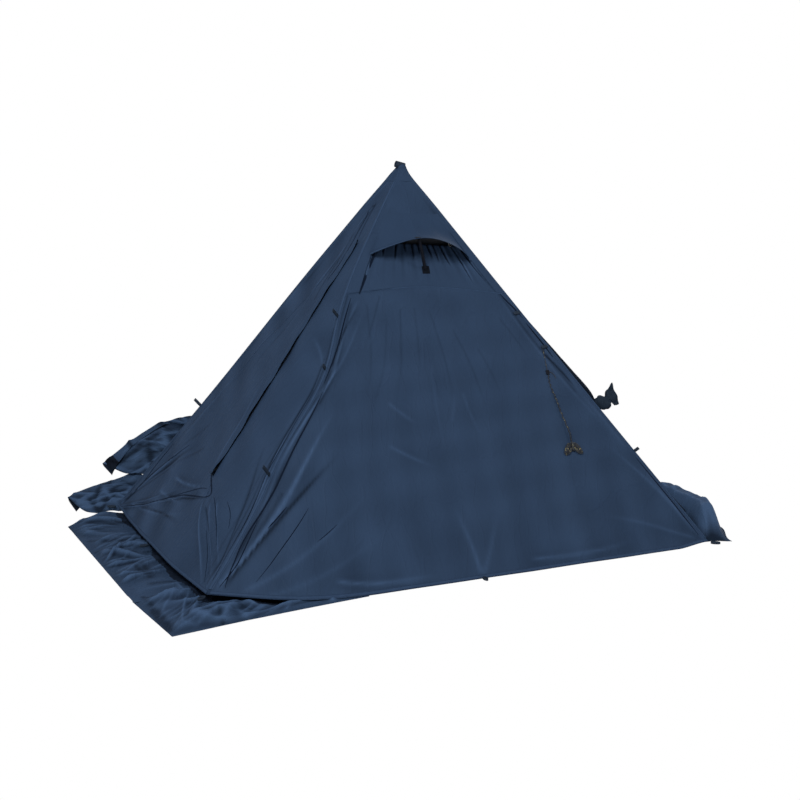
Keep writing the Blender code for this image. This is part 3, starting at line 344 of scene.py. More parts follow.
def ridge_sides(corner):
    """The walls that end and that begin at a corner."""
    before = next(side for side, ends in SIDES.items() if ends[1] == corner)
    after = next(side for side, ends in SIDES.items() if ends[0] == corner)
    return before, after


def ridge_point(corner, v):
    before, after = ridge_sides(corner)
    return (wall(before, 1.0, v) + wall(after, 0.0, v)) / 2


def ridge_out(corner):
    """Direction midway between the two walls' outward directions."""
    before, after = ridge_sides(corner)
    return unit(outward(before) + outward(after))


# Folds of a wall: u and v of both ends, height and width in metres. A negative height is a groove.
FOLDS = {
    "front": (
        (0.0, 1.0, 0.17, 0.78, 0.011, 0.016), (0.01, 0.99, 0.3, 0.76, -0.008, 0.02),
        (0.0, 1.0, 0.45, 0.86, 0.006, 0.018), (0.02, 1.0, 0.6, 0.845, 0.0075, 0.014),
        (0.04, 1.0, 0.5, 0.93, -0.004, 0.022), (0.3, 0.86, 0.62, 0.835, 0.004, 0.01),
        (0.66, 0.86, 0.97, 1.0, 0.006, 0.012), (0.69, 0.86, 0.99, 1.0, -0.0055, 0.014),
        (0.72, 0.85, 1.0, 0.985, 0.005, 0.01), (0.76, 0.84, 1.0, 0.965, 0.004, 0.012),
        (0.99, 0.98, 0.93, 0.6, 0.008, 0.018), (0.985, 0.98, 0.86, 0.68, -0.005, 0.022),
        (1.0, 0.95, 0.97, 0.42, -0.006, 0.012), (0.97, 0.52, 0.8, 0.44, 0.0025, 0.016),
        (0.4, 0.11, 0.44, 0.2, 0.006, 0.01), (0.44, 0.2, 0.36, 0.5, 0.0035, 0.018),
        (0.42, 0.23, 0.24, 0.62, -0.003, 0.022), (0.2, 0.45, 0.1, 0.85, 0.003, 0.02),
        (0.58, 0.8, 0.5, 0.55, 0.003, 0.016), (0.25, 0.9, 0.55, 0.89, 0.003, 0.012),
        (0.3, 0.95, 0.62, 0.93, -0.003, 0.01), (0.1, 0.97, 0.62, 0.9, 0.0035, 0.014),
    ),
    "right": (
        (0.01, 0.99, 0.1, 0.6, 0.01, 0.022), (0.015, 0.99, 0.18, 0.7, -0.0075, 0.024),
        (0.04, 1.0, 0.26, 0.8, 0.0028, 0.03), (0.08, 1.0, 0.32, 0.88, 0.0018, 0.03),
        (0.0, 0.6, 0.16, 0.34, 0.003, 0.016), (0.02, 0.52, 0.11, 0.36, -0.0055, 0.012),
        (0.1, 0.34, 0.04, 0.62, 0.003, 0.014), (0.14, 0.345, 0.2, 0.6, -0.0012, 0.016),
        (0.05, 0.5, 0.02, 0.88, 0.0055, 0.01), (0.22, 0.33, 0.16, 0.47, -0.0016, 0.01),
        (0.42, 0.36, 0.4, 0.56, -0.0012, 0.014), (0.34, 0.36, 0.31, 0.6, -0.0013, 0.012),
        (0.5, 0.37, 0.52, 0.62, -0.0012, 0.012), (0.86, 0.4, 0.88, 0.52, -0.0012, 0.012),
        (0.6, 0.42, 0.63, 0.64, -0.0012, 0.014), (0.27, 0.38, 0.22, 0.66, -0.001, 0.014),
        (0.68, 0.47, 0.7, 0.6, -0.001, 0.012), (0.46, 0.5, 0.47, 0.74, 0.001, 0.016),
        (0.56, 0.58, 0.585, 0.7, 0.0012, 0.014), (0.5, 0.66, 0.53, 0.58, 0.001, 0.012),
        (0.94, 0.34, 0.985, 0.75, 0.0018, 0.018), (0.955, 0.495, 0.975, 0.6, -0.006, 0.012),
        (0.99, 0.985, 0.93, 0.72, 0.003, 0.022), (0.985, 0.99, 0.8, 0.9, 0.0022, 0.022),
        (0.5, 1.0, 0.46, 0.84, 0.0024, 0.024), (0.5, 1.0, 0.57, 0.86, 0.0018, 0.024),
        (0.2, 0.97, 0.42, 0.98, 0.003, 0.014), (0.6, 0.975, 0.86, 0.965, 0.0025, 0.014),
        (0.3, 0.7, 0.44, 0.76, 0.0018, 0.014), (0.28, 0.6, 0.4, 0.66, 0.0016, 0.012),
    ),
    "rear": (
        (0.0, 1.0, 0.35, 0.86, 0.006, 0.018), (0.02, 1.0, 0.55, 0.9, -0.0045, 0.02),
        (0.66, 0.86, 0.97, 1.0, 0.006, 0.014), (0.72, 0.85, 1.0, 0.985, -0.0045, 0.016),
        (0.99, 0.98, 0.88, 0.66, 0.006, 0.02), (0.97, 0.52, 0.82, 0.4, 0.003, 0.016),
        (0.8, 0.3, 0.92, 0.62, 0.0025, 0.016), (0.1, 0.97, 0.6, 0.91, 0.003, 0.014),
    ),
    "left": (
        (0.01, 0.99, 0.16, 0.7, 0.007, 0.024), (0.02, 1.0, 0.3, 0.84, -0.005, 0.024),
        (0.99, 0.99, 0.86, 0.72, 0.008, 0.022), (0.98, 1.0, 0.72, 0.86, -0.005, 0.024),
        (0.5, 1.0, 0.44, 0.8, 0.0045, 0.022), (0.5, 1.0, 0.58, 0.82, 0.004, 0.02),
        (0.35, 0.3, 0.3, 0.55, 0.0025, 0.016), (0.6, 0.28, 0.66, 0.52, 0.0025, 0.016),
        (0.96, 0.4, 0.9, 0.8, 0.004, 0.018), (0.04, 0.42, 0.1, 0.78, 0.0035, 0.018),
    ),
}
EDGE_FLAT = 0.03
SLACK_WAVES = 7
SLACK_HEIGHT = 0.0035
# Painted shade: hollows of these depths are painted fully dark, against the cloth a few and many grid steps
# around them
CREASE_DEPTH, CREASE_STEPS = 0.0022, 5
BROAD_DEPTH, BROAD_STEPS = 0.012, 40


def fold_height(across, down, start, end, height, width):
    run = np.array(end) - np.array(start)
    length = np.linalg.norm(run)
    along = ((across - start[0]) * run[0] + (down - start[1]) * run[1]) / length ** 2
    beside = ((across - start[0]) * run[1] - (down - start[1]) * run[0]) / length
    beside = beside + 0.06 * length * np.sin(math.pi * np.clip(along, 0, 1)) * math.copysign(0.5, height)
    fade = smooth(along / 0.12) * smooth((1 - along) / 0.45)
    return height * fade * np.exp(-np.abs(beside) / (width * (0.55 + 0.45 * np.clip(along, 0, 1))))


def relief(side, u, v):
    """Height of a wall's folds and slack above its tensioned face."""
    across, down = flat_place(side, u, v)
    seed = named_draws(side)
    height = np.zeros_like(across)
    for _ in range(SLACK_WAVES):
        angle, phase = seed.uniform(0, math.pi), seed.uniform(0, 2 * math.pi)
        wave = seed.uniform(0.16, 0.55)
        turn = across * math.cos(angle) + down * math.sin(angle)
        height += SLACK_HEIGHT * wave * np.sin(2 * math.pi * turn / wave + phase
                                               + 2.0 * np.sin(3.1 * down + phase))
    for u0, v0, u1, v1, rise, width in FOLDS[side]:
        start, end = flat_place(side, u0, v0), flat_place(side, u1, v1)
        height += fold_height(across, down, start, end, rise, width)
    from_ridge = np.minimum(u, 1 - u) * v * hem_length(side)
    return height * smooth(from_ridge / EDGE_FLAT) * smooth((v - 0.03) / 0.1)


# Painted shade along sharp creases and seam lines, as a line of (u, v), half width in metres and darkness
MARKS = {
    "front": (
        (((0.395, 0.109), (0.433, 0.195), (0.47, 0.27), (0.5, 0.36)), 0.0045, 0.9),
        (((0.44, 0.105), (0.5, 0.18), (0.56, 0.24)), 0.004, 0.5),
        (((0.98, 0.42), (0.975, 0.6), (0.95, 0.76), (0.955, 0.9), (0.975, 0.99)), 0.0055, 0.6),
        (((0.955, 0.5), (0.95, 0.66), (0.92, 0.8), (0.925, 0.92), (0.95, 0.985)), 0.0045, 0.35),
        (((0.0, 1.0), (0.17, 0.78), (0.25, 0.72)), 0.006, 0.5),
        (((0.01, 0.99), (0.22, 0.83), (0.36, 0.77)), 0.006, 0.6),
        (((0.0, 1.0), (0.3, 0.91), (0.55, 0.875), (0.66, 0.855)), 0.006, 0.5),
    ),
    "right": (
        (((0.02, 0.34), (0.022, 0.52), (0.03, 0.72), (0.012, 0.97)), 0.0055, 0.6),
        (((0.055, 0.36), (0.05, 0.46), (0.035, 0.6)), 0.006, 0.4),
        (((0.045, 0.8), (0.03, 0.88), (0.022, 0.985)), 0.007, 0.4),
        (((0.955, 0.34), (0.955, 0.48), (0.965, 0.6)), 0.006, 0.4),
    ),
    "rear": (), "left": (),
}


def drawn_line(x, y, spots, width, strength):
    """Painted shade: darkness of each point (x, y) beside a broken line."""
    nearest = np.full_like(x, 9.0)
    for (x0, y0), (x1, y1) in zip(spots, spots[1:]):
        run = math.hypot(x1 - x0, y1 - y0)
        along = np.clip(((x - x0) * (x1 - x0) + (y - y0) * (y1 - y0)) / run ** 2, 0, 1)
        nearest = np.minimum(nearest, np.hypot(x - mix(x0, x1, along), y - mix(y0, y1, along)))
    return strength * np.exp(-(nearest / width) ** 2)


def drawn_marks(side, u, v):
    across, down = flat_place(side, u, v)
    dark = np.zeros_like(across)
    for line, width, strength in MARKS[side]:
        spots = [flat_place(side, a, b) for a, b in line]
        dark = np.maximum(dark, drawn_line(across, down, spots, width, strength))
    return dark


# Pieces from grids of points

# Share of its flat rectangle that a sheet's flat cloth is taken to fill at least
LEAST_FILLED = 0.3


def new_mesh(name, spots, faces, uv):
    """Smooth mesh with a UV in metres for each of its points."""
    mesh = bpy.data.meshes.new(name)
    mesh.from_pydata(spots.tolist(), [], faces.tolist())
    layer = mesh.uv_layers.new(name="Cloth")
    corner = np.zeros(len(mesh.loops), np.int32)
    mesh.loops.foreach_get("vertex_index", corner)
    layer.data.foreach_set("uv", uv[corner].astype(np.float32).ravel())
    mesh.polygons.foreach_set("use_smooth", np.ones(len(mesh.polygons), bool))
    mesh.validate()
    return mesh


def grid_mesh(name, points, uv, facing=None):
    """Mesh of a grid of points with its flat cloth as UVs in metres, turned to face a direction."""
    rows, columns = points.shape[:2]
    order = np.arange(rows * columns).reshape(rows, columns)
    quads = [order[:-1, :-1], order[1:, :-1], order[1:, 1:], order[:-1, 1:]]
    quads = np.stack(quads, axis=-1).reshape(-1, 4)
    spots = points.reshape(-1, 3)
    if facing is not None:
        normal = np.cross(spots[quads[:, 2]] - spots[quads[:, 0]], spots[quads[:, 3]] - spots[quads[:, 1]])
        if normal.sum(axis=0) @ np.asarray(facing, float) < 0:
            quads = quads[:, ::-1]
    return new_mesh(name, spots, quads, uv.reshape(-1, 2))


def blur(field, rounds):
    for _ in range(rounds):
        padded = np.pad(field, 1, mode="edge")
        field = (padded[:-2, 1:-1] + padded[2:, 1:-1] + padded[1:-1, :-2] + padded[1:-1, 2:] + 2 * field) / 6
    return field


def shade_creases(piece, height, marks=0.0):
    """Store how deep each point lies between its neighbours as painted shade: the cloth's colour is darker
    in hollows and a little lighter on ridges.
    """
    hollow = (blur(height, CREASE_STEPS) - height) / CREASE_DEPTH
    hollow = hollow + (blur(height, BROAD_STEPS) - height) / BROAD_DEPTH
    layer = piece.data.attributes.new("Crease", "FLOAT", "POINT")
    layer.data.foreach_set("value", np.clip(hollow + marks, -1.0, 1.0).astype(np.float32).ravel())


def new_object(name, data):
    made = bpy.data.objects.new(name, data)
    bpy.context.scene.collection.objects.link(made)
    return made


def add_piece(name, data, material, body=FLY, replaced=None):
    """Piece that stands for the CAD node of its own name, unless other nodes are named."""
    piece = new_object(name, data)
    data.materials.clear()
    data.materials.append(material)
    if replaced is None and name.lower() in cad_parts:
        replaced = (name.lower(),)
    if replaced:
        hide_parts(*replaced)
    if body:
        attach(piece, body)
    return piece


def grid_piece(name, points, uv, facing, material, body=FLY, replaced=None):
    return add_piece(name, grid_mesh(name, points, uv, facing), material, body, replaced)


def thicken(piece, thickness, offset=-1.0):
    solid = piece.modifiers.new("Thickness", "SOLIDIFY")
    solid.thickness = thickness
    solid.offset = offset
    return piece


def quad_area(uv):
    """Area of a grid's flat cloth."""
    first = uv[1:, 1:] - uv[:-1, :-1]
    second = uv[1:, :-1] - uv[:-1, 1:]
    return abs(float((first[..., 0] * second[..., 1] - first[..., 1] * second[..., 0]).sum())) / 2


def declare_cloth(uv):
    width, length = (float(x) for x in np.ptp(uv.reshape(-1, 2), axis=0))
    area = min(quad_area(uv), width * length)
    if area < LEAST_FILLED * width * length:
        width *= area / (LEAST_FILLED * width * length) * 0.999


def cloth_piece(name, points, uv, facing, material, body=FLY,
                thickness=CLOTH):
    piece = grid_piece(name, points, uv, facing, material, body)
    thicken(piece, thickness)
    declare_cloth(uv)
    return piece


def paint(piece, material, chosen):
    """Give a second material to the quads that a mask over the grid's quads chooses."""
    piece.data.materials.append(material)
    piece.data.polygons.foreach_set("material_index", np.asarray(chosen, np.int32).ravel())


def wall_panel(name, side, u, v, body=FLY):
    """Panel of a wall over a grid of (u, v), with its folds."""
    height = relief(side, u, v)
    piece = cloth_piece(name, wall(side, u, v, height), flat_uv(side, u, v), outward(side), FLY_CLOTH,
                        body)
    shade_creases(piece, height, drawn_marks(side, u, v))
    return piece


def wall_piece(name, side, v_range, u_left, u_right, step, columns, body=FLY):
    """Panel of a wall between two cut lines, each u as a function of v or a number."""
    rows = round((v_range[1] - v_range[0]) * slope_length(side) / step)
    v = np.linspace(*v_range, rows + 1)
    low, high = (np.vectorize(line)(v) if callable(line) else np.full_like(v, line)
                 for line in (u_left, u_right))
    u = low[:, None] + (high - low)[:, None] * np.linspace(0, 1, columns + 1)[None, :]
    return wall_panel(name, side, u, np.broadcast_to(v[:, None], u.shape), body)


# Materials

def connect(tree, value, socket):
    """Fill a socket with a value, or link another node's output to it."""
    if isinstance(value, bpy.types.NodeSocket):
        tree.links.new(value, socket)
    else:
        socket.default_value = value


def node_adder(tree):
    """Function that adds a node with its settings and inputs, and returns one of its outputs."""
    def add(kind, output, inputs=None, **settings):
        made = tree.nodes.new("ShaderNode" + kind)
        for key, value in settings.items():
            setattr(made, key, value)
        for key, value in (inputs or {}).items():
            connect(tree, value, made.inputs[key])
        return made.outputs[output] if output else made
    return add


def calculate(add, operation, *values):
    return add("Math", "Value", dict(enumerate(values)), operation=operation)


def two_tone(add, factor, first, second):
    """Colour between two tones, each a colour or another node's output."""
    pair = [tone if isinstance(tone, bpy.types.NodeSocket) else (*tone, 1) for tone in (first, second)]
    return add("Mix", "Result", {"Factor": factor, "A": pair[0], "B": pair[1]}, data_type="RGBA")


def noise(add, place, scale, detail, output="Fac", **more):
    return add("TexNoise", output, {"Vector": place, "Scale": scale, "Detail": detail, **more})


def spread(add, value, low, high, **more):
    """Map a value from 0 to 1 on to another range."""
    return add("MapRange", "Result", {"Value": value, "To Min": low, "To Max": high, **more})


def bumps(add, height, strength, distance, **more):
    return add("Bump", "Normal", {"Height": height, "Strength": strength, "Distance": distance, **more})


def threads(add, cloth, scale):
    """Waves across and along a cloth."""
    return [add("TexWave", "Fac", {"Vector": cloth, "Scale": scale}, bands_direction=way) for way in "XY"]


def new_material(name):
    material = bpy.data.materials.new(name)
    material.use_nodes = True
    return material, node_adder(material.node_tree)


def surface(material, inputs):
    """Fill the inputs of a material's shader."""
    tree = material.node_tree
    for key, value in inputs.items():
        connect(tree, value, tree.nodes["Principled BSDF"].inputs[key])
    return material


def woven(name, colour, other, roughness, crinkle=1.0, stretch=(1.0, 0.45), sheen=0.03):
    """Coated woven cloth: two tones, fine weave, packing creases stretched along the slope, and painted
    shade in hollows and painted highlight on ridges.
    """
    material, add = new_material(name)
    cloth = add("UVMap", "UV", uv_map="Cloth")
    long = add("Mapping", "Vector", {"Vector": cloth, "Scale": (*stretch, 1.0)})
    tone = noise(add, long, 5.0, 5.0, Roughness=0.6)
    rough = spread(add, tone, roughness - 0.07, roughness + 0.08)

    # Painted shade and highlight: the colour is darkened where the points' stored painted shade is deep, and
    # lightened on ridges
    hollow = add("Attribute", "Fac", attribute_name="Crease")
    light = spread(add, hollow, 1.1, 0.2, **{"From Min": -1.0})
    shade = two_tone(add, tone, colour, other)
    toned = add("VectorMath", "Vector", {0: shade, "Scale": light}, operation="SCALE")

    bent = noise(add, long, 4.0, 3.0, "Color")
    moved = add("VectorMath", "Vector", {0: bent, 1: (0.35, 0.35, 0.35), 2: long}, operation="MULTIPLY_ADD")
    creases = add("TexVoronoi", "Distance", {"Vector": moved, "Scale": 11.0}, feature="DISTANCE_TO_EDGE")
    ridge = add("MapRange", "Result", {"Value": creases, "From Max": 0.1, "To Min": 1.0, "To Max": 0.0},
                interpolation_type="SMOOTHSTEP")
    rumple = noise(add, long, 26.0, 7.0, Roughness=0.62, Distortion=0.6)
    folds = bumps(add, calculate(add, "MULTIPLY_ADD", ridge, 0.35, rumple), 0.55 * crinkle, 0.006)
    crossing = calculate(add, "MULTIPLY", *threads(add, cloth, 420.0))
    return surface(material, {
        "Base Color": toned, "Roughness": rough, "Normal": bumps(add, crossing, 0.18, 0.0003, Normal=folds),
        "Specular IOR Level": 0.015, "Sheen Weight": sheen, "Sheen Roughness": 0.45,
        "Sheen Tint": (0.3, 0.5, 1.0, 1)})


def stitched(name, colour, stitch_colour):
    """Seam or hem strip: UV x runs across it in metres, with a row of dark stitches near each edge, which
    also paints the shade of the seam's edge grooves.
    """
    material, add = new_material(name)
    cloth = add("UVMap", "UV", uv_map="Cloth")
    place = add("SeparateXYZ", None, {"Vector": cloth}).outputs
    row = calculate(add, "COMPARE", calculate(add, "ABSOLUTE", place["X"]), 0.006, 0.0011)
    dash = calculate(add, "LESS_THAN", calculate(add, "WRAP", place["Y"], 0.0, 0.004), 0.0027)
    stitch = calculate(add, "MULTIPLY", row, dash)
    ground = two_tone(add, noise(add, cloth, 30.0, 4.0), colour, [c * 0.72 for c in colour])
    height = calculate(add, "MULTIPLY_ADD", stitch, 0.8, noise(add, cloth, 90.0, 3.0))
    return surface(material, {
        "Base Color": two_tone(add, stitch, ground, stitch_colour), "Roughness": 0.6,
        "Normal": bumps(add, height, 0.5, 0.0012), "Specular IOR Level": 0.03})


def ribbed(name, colour, roughness, rib, metallic=0.0, strength=0.4, depth=0.0004):
    """Webbing, moulded trim or tube: a fine rib or grain over a varied tone, in object space."""
    material, add = new_material(name)
    place = add("TexCoord", "Object")
    tone = noise(add, place, 60.0, 4.0)
    ribs = add("TexWave", "Fac", {"Vector": place, "Scale": rib, "Distortion": 0.6, "Detail": 1.0})
    return surface(material, {
        "Base Color": two_tone(add, tone, colour, [c * 0.7 for c in colour]),
        "Roughness": spread(add, tone, roughness - 0.06, roughness + 0.08),
        "Normal": bumps(add, ribs, strength, depth),
        "Metallic": metallic, "Specular IOR Level": 0.5 if metallic else 0.08})


def flecked_cord(name, colour, fleck, share):
    """Braided cord with light flecks woven in."""
    material, add = new_material(name)
    spots = add("TexVoronoi", None, {"Vector": add("TexCoord", "Object"), "Scale": 260.0}).outputs
    chance = add("SeparateColor", "Red", {"Color": spots["Color"]})
    shade = two_tone(add, calculate(add, "LESS_THAN", chance, share), colour, fleck)
    rise = bumps(add, spots["Distance"], 0.7, 0.0005)
    return surface(material, {"Base Color": shade, "Normal": rise, "Roughness": 0.7})


def netting(name, colour):
    """Insect mesh: the holes are cut by a fine grid."""
    material, add = new_material(name)
    cloth = add("UVMap", "UV", uv_map="Cloth")
    bars = [calculate(add, "GREATER_THAN", wave, 0.1) for wave in threads(add, cloth, 130.0)]
    tone = noise(add, cloth, 40.0, 2.0)
    return surface(material, {
        "Base Color": two_tone(add, tone, colour, [c * 1.6 for c in colour]),
        "Alpha": calculate(add, "MAXIMUM", *bars), "Roughness": 0.8})


NAVY = (0.0295, 0.053, 0.1)
NAVY_DEEP = (0.0225, 0.0405, 0.078)
SKIRT_NAVY = (0.034, 0.061, 0.112)
SKIRT_DEEP = (0.024, 0.044, 0.086)
SEAM_NAVY = (0.0225, 0.0415, 0.08)
# Colour of the stitches, darkened to also paint the shade of the seam's edge grooves
STITCH = (0.008, 0.015, 0.034)
BLACK = (0.003, 0.004, 0.008)

FLY_CLOTH = woven("Fly cloth", NAVY, NAVY_DEEP, 0.52)
VENT_CLOTH = woven("Vent cloth", NAVY, NAVY_DEEP, 0.54, crinkle=0.6)
SKIRT_CLOTH = woven("Skirt cloth", SKIRT_NAVY, SKIRT_DEEP, 0.5, crinkle=1.5, stretch=(1.0, 1.0), sheen=0.05)
ROLL_CLOTH = woven("Roll cloth", (0.019, 0.03, 0.046), (0.012, 0.019, 0.03), 0.4, crinkle=1.4,
                   stretch=(1.0, 1.0))
# Dark face of the rolled door, also used as painted shade under the hems and on the skirts' turned-over ends
COATED = woven("Coated face", (0.01, 0.015, 0.026), (0.006, 0.009, 0.016), 0.55, crinkle=1.4,
               stretch=(1.0, 1.0))
SEAM_CLOTH = stitched("Seam cloth", SEAM_NAVY, STITCH)
FOLD_SHADE = woven("Fold shade", (0.006, 0.011, 0.024), (0.004, 0.008, 0.018), 0.7, crinkle=0.6)
WEBBING = ribbed("Webbing", (0.014, 0.022, 0.036), 0.75, 300.0)
BLACK_TRIM = ribbed("Black trim", BLACK, 0.5, 240.0)
HOOK_PATCH = ribbed("Hook patch", (0.003, 0.005, 0.009), 0.85, 520.0, strength=0.9, depth=0.0008)
ZIP_TEETH = ribbed("Zip teeth", (0.012, 0.015, 0.022), 0.35, 400.0)
ZIP_METAL = ribbed("Zip metal", (0.06, 0.064, 0.072), 0.38, 90.0, metallic=0.7, strength=0.15)
TUBE = ribbed("Pole tube", (0.55, 0.56, 0.58), 0.34, 700.0, metallic=1.0, strength=0.08, depth=0.0002)
RUBBER = ribbed("Rubber foot", (0.016, 0.016, 0.018), 0.78, 150.0)
CORD = flecked_cord("Guy cord", (0.003, 0.006, 0.012), (0.03, 0.036, 0.038), 0.05)
HANK_CORD = flecked_cord("Hank cord", (0.003, 0.005, 0.009), (0.13, 0.115, 0.05), 0.07)
NET = netting("Vent net", (0.0035, 0.005, 0.009))


# Cut lines of a door, in u for a given v

def cut_line(u0, v0, u1, v1):
    """Straight cut of the flat wall between two points."""
    return lambda v: mix(u0 * v0, u1 * v1, (v - v0) / (v1 - v0)) / v


zip_line = cut_line(ZIP_TOP_U, ZIP_TOP_V, ZIP_LOW_U, ZIP_LOW_V)
below_zip = cut_line(ZIP_LOW_U, ZIP_LOW_V, FOOT_U, FOOT_V)
hinge_line = cut_line(ZIP_TOP_U, ZIP_TOP_V, 0.0, 1.0)
sill_left = cut_line(FOOT_U, FOOT_V, 0.0, 1.0)
sill_right = cut_line(FOOT_U, FOOT_V, 1.0, 1.0)


def tape_width(v, least):
    """Half the gap for the zip, which closes up just below its lower end."""
    return mix(ZIP_TAPE, least, min((v - ZIP_LOW_V) / 0.01, 1))


def door_right(v):
    if v <= ZIP_LOW_V:
        return zip_line(v) - inset("front", v, ZIP_TAPE)
    if v <= FOOT_V:
        return below_zip(v) - inset("front", v, tape_width(v, DOOR_GAP))
    return sill_left(v) - inset("front", v, DOOR_GAP)


def side_right(v):
    if v <= ZIP_TOP_V:
        return ZIP_TOP_U
    return max(hinge_line(v) - inset("front", v, 0.001), 0.002)


def fixed_left(v):
    if v <= ZIP_TOP_V:
        return ZIP_TOP_U
    if v <= ZIP_LOW_V:
        return zip_line(v) + inset("front", v, ZIP_TAPE)
    if v <= FOOT_V:
        return below_zip(v) + inset("front", v, tape_width(v, 0.0))
    return min(sill_right(v) + inset("front", v, 0.0005), 1.0)


def build_gable(side):
    name = side.title()
    wall_piece(name + "_side_panel", side, (WALL_TOP_V, 0.985), 0.0, side_right, 0.012, 26)
    wall_piece(name + "_fixed_panel", side, (WALL_TOP_V, 0.998), fixed_left, 1.0, 0.01, 64)
    wall_piece(name + "_sill_panel", side, (FOOT_V + 0.001, 1.0), lambda v: max(sill_left(v), 0.0),
               lambda v: min(sill_right(v), 1.0), 0.01, 130)


def build_door():
    wall_piece("Front_door_panel", "front", (ZIP_TOP_V + 0.004, 0.994),
               lambda v: hinge_line(v) + inset("front", v, 0.001), door_right, 0.01, 70, DOOR)


# Zip and storm flap

def zip_axes(side):
    low, top = wall(side, ZIP_LOW_U, ZIP_LOW_V), wall(side, ZIP_TOP_U, ZIP_TOP_V)
    up, out = unit(top - low), outward(side)
    return low, unit(np.cross(up, out)), up, out, np.linalg.norm(top - low)


def build_zip_half(name, side, direction, body, node):
    """Zip tape with its row of coil teeth."""
    low, across, up, out, length = zip_axes(side)
    climb = np.linspace(ZIP_END, length - ZIP_HEAD, 90)
    reach = np.array([0.0016, 0.005, 0.0085, 0.0112])
    lift = np.array([-0.0002, -0.0004, -0.0006, -0.0012])
    points = (low + up * climb[:, None, None] + across * (direction * reach)[None, :, None]
              + out * lift[None, :, None])
    tape = grid_piece(name + "_tape", points, strip_uv(reach, climb), out, WEBBING, body, (node,))
    thicken(tape, 0.0009)
    count = int((length - ZIP_END - ZIP_HEAD) / TOOTH_PITCH)
    half = np.array([0.0017, 0.0007, 0.0011])
    box = np.array([(x, y, z) for x in (-1, 1) for y in (-1, 1) for z in (-1, 1)]) * half
    start = low + up * (ZIP_END + TOOTH_PITCH / 2) + across * direction * 0.0022 + out * 0.0009
    corners, faces = [], []
    sides = ((0, 1, 3, 2), (4, 6, 7, 5), (0, 4, 5, 1), (2, 3, 7, 6), (0, 2, 6, 4), (1, 5, 7, 3))
    for k in range(count):
        centre = start + up * (k * TOOTH_PITCH)
        corners.append(centre + box[:, :1] * across + box[:, 1:2] * up + box[:, 2:] * out)
        faces += [tuple(8 * k + j for j in quad) for quad in sides]
    mesh = bpy.data.meshes.new(name + "_teeth")
    mesh.from_pydata(np.concatenate(corners).tolist(), [], faces)
    add_piece(name + "_teeth", mesh, ZIP_TEETH, body, ())


def build_flap():
    """Storm flap over the zip: sewn down at its left edge, its right edge stands free."""
    low, across, up, out, length = zip_axes("front")
    climb = np.linspace(-0.012, length - 0.016, 120)
    t = np.linspace(0, 1, 13)
    wave = 0.0022 * np.sin(climb * 21 + 0.6) + 0.0014 * np.sin(climb * 47)
    reach = mix(-0.036, 0.021, t)[None, :] + 0.0015 * np.sin(climb * 13)[:, None] * t[None, :]
    reach = reach + 0.012 * (smooth((climb / length - 0.6) / 0.4)[:, None] * t[None, :])
    narrow = np.minimum(1.0, (0.62 * (length - climb) - 0.003) / 0.036)[:, None]
    reach = np.where(reach < 0, reach * narrow, reach)
    arch = 0.0018 + 0.0118 * smooth((t - 0.05) / 0.45) - 0.003 * smooth((t - 0.72) / 0.28)
    lift = arch[None, :] + wave[:, None] * smooth((t - 0.3) / 0.5)[None, :]
    lift = lift + 0.008 * bump(climb, 0.0, 0.05)[:, None] * smooth((t - 0.2) / 0.4)[None, :]
    points = low + up * climb[:, None, None] + across * reach[..., None] + out * lift[..., None]
    uv = np.stack([reach, np.broadcast_to(climb[:, None], reach.shape)], axis=-1)
    cloth_piece("Front_storm_flap", points, uv, out, FLY_CLOTH, DOOR)
    hem_uv = strip_uv(np.array([-0.0055, 0.0]), climb)
    edge = points[:, -2:] + out * 0.001
    hem = grid_piece("Front_flap_hem", edge, hem_uv, out, SEAM_CLOTH, DOOR)
    thicken(hem, 0.0012)


# Vent

def hood_edge(u):
    return HOOD_EDGE_V + 0.02 * u


def hood_points(u, t):
    """The hood turns out about its bend line, most at mid width and not at all at the ridges."""
    bend = wall("right", u, HOOD_BEND_V - 0.0008)
    edge = wall("right", u, hood_edge(u))
    reach = np.linalg.norm(edge - bend, axis=-1, keepdims=True)
    along = (edge - bend) / reach
    inner = np.clip((np.minimum(u, 1 - u) - HOOD_FLAT_U) / (0.5 - HOOD_FLAT_U), 0, 1)
    angle = HOOD_OPEN * np.sin(math.pi / 2 * inner) ** 0.65 * t ** 0.7
    direction = along * np.cos(angle)[..., None] + outward("right") * np.sin(angle)[..., None]
    return bend + direction * reach * t[..., None]


def curtain_low(u):
    return CURTAIN_LOW_V - CURTAIN_RISE * np.sin(math.pi * u) + 0.008 * u


def between_ridges(v, gap, count):
    """Grid of (u, v) across the right wall that stays a gap in metres away from its ridges."""
    edge = inset("right", v, gap)[:, None]
    u = edge + (1 - 2 * edge) * np.linspace(0, 1, count)[None, :]
    return u, np.broadcast_to(v[:, None], u.shape)


def build_hood():
    """Hood and its rim, turned out from the wall about the bend line."""
    normal = outward("right")
    t = np.linspace(0, 1, 31)
    u, v = between_ridges(mix(HOOD_BEND_V, HOOD_EDGE_V, t), 0.004, 91)
    depth = np.broadcast_to(t[:, None], u.shape)
    slack = 0.0022 * np.sin(9 * u * math.pi + 2 * depth) * np.sin(math.pi * depth) * np.sin(math.pi * u)
    lap = (0.0001 + relief("right", u[0], np.full_like(u[0], HOOD_BEND_V))) * (1 - smooth(depth / 0.3))
    points = hood_points(u, depth) + normal * (slack + lap)[..., None]
    uv = flat_uv("right", u, v)
    hood = grid_piece("Vent_hood", points, uv, normal, VENT_CLOTH, None)
    rim_uv = strip_uv(np.linspace(-0.006, 0.006, 3), uv[-1, :, 0]).transpose(1, 0, 2)
    edge = points[-3:] + normal * 0.0008
    rim = grid_piece("Vent_hood_rim", edge, rim_uv, normal, SEAM_CLOTH, None)
    bend = wall("right", 0.5, HOOD_BEND_V)
    for piece in (hood, rim):
        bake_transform(piece)
    thicken(hood, 0.0004).modifiers["Thickness"].use_rim = False
    thicken(rim, 0.0016, 0.0)
    declare_cloth(uv)


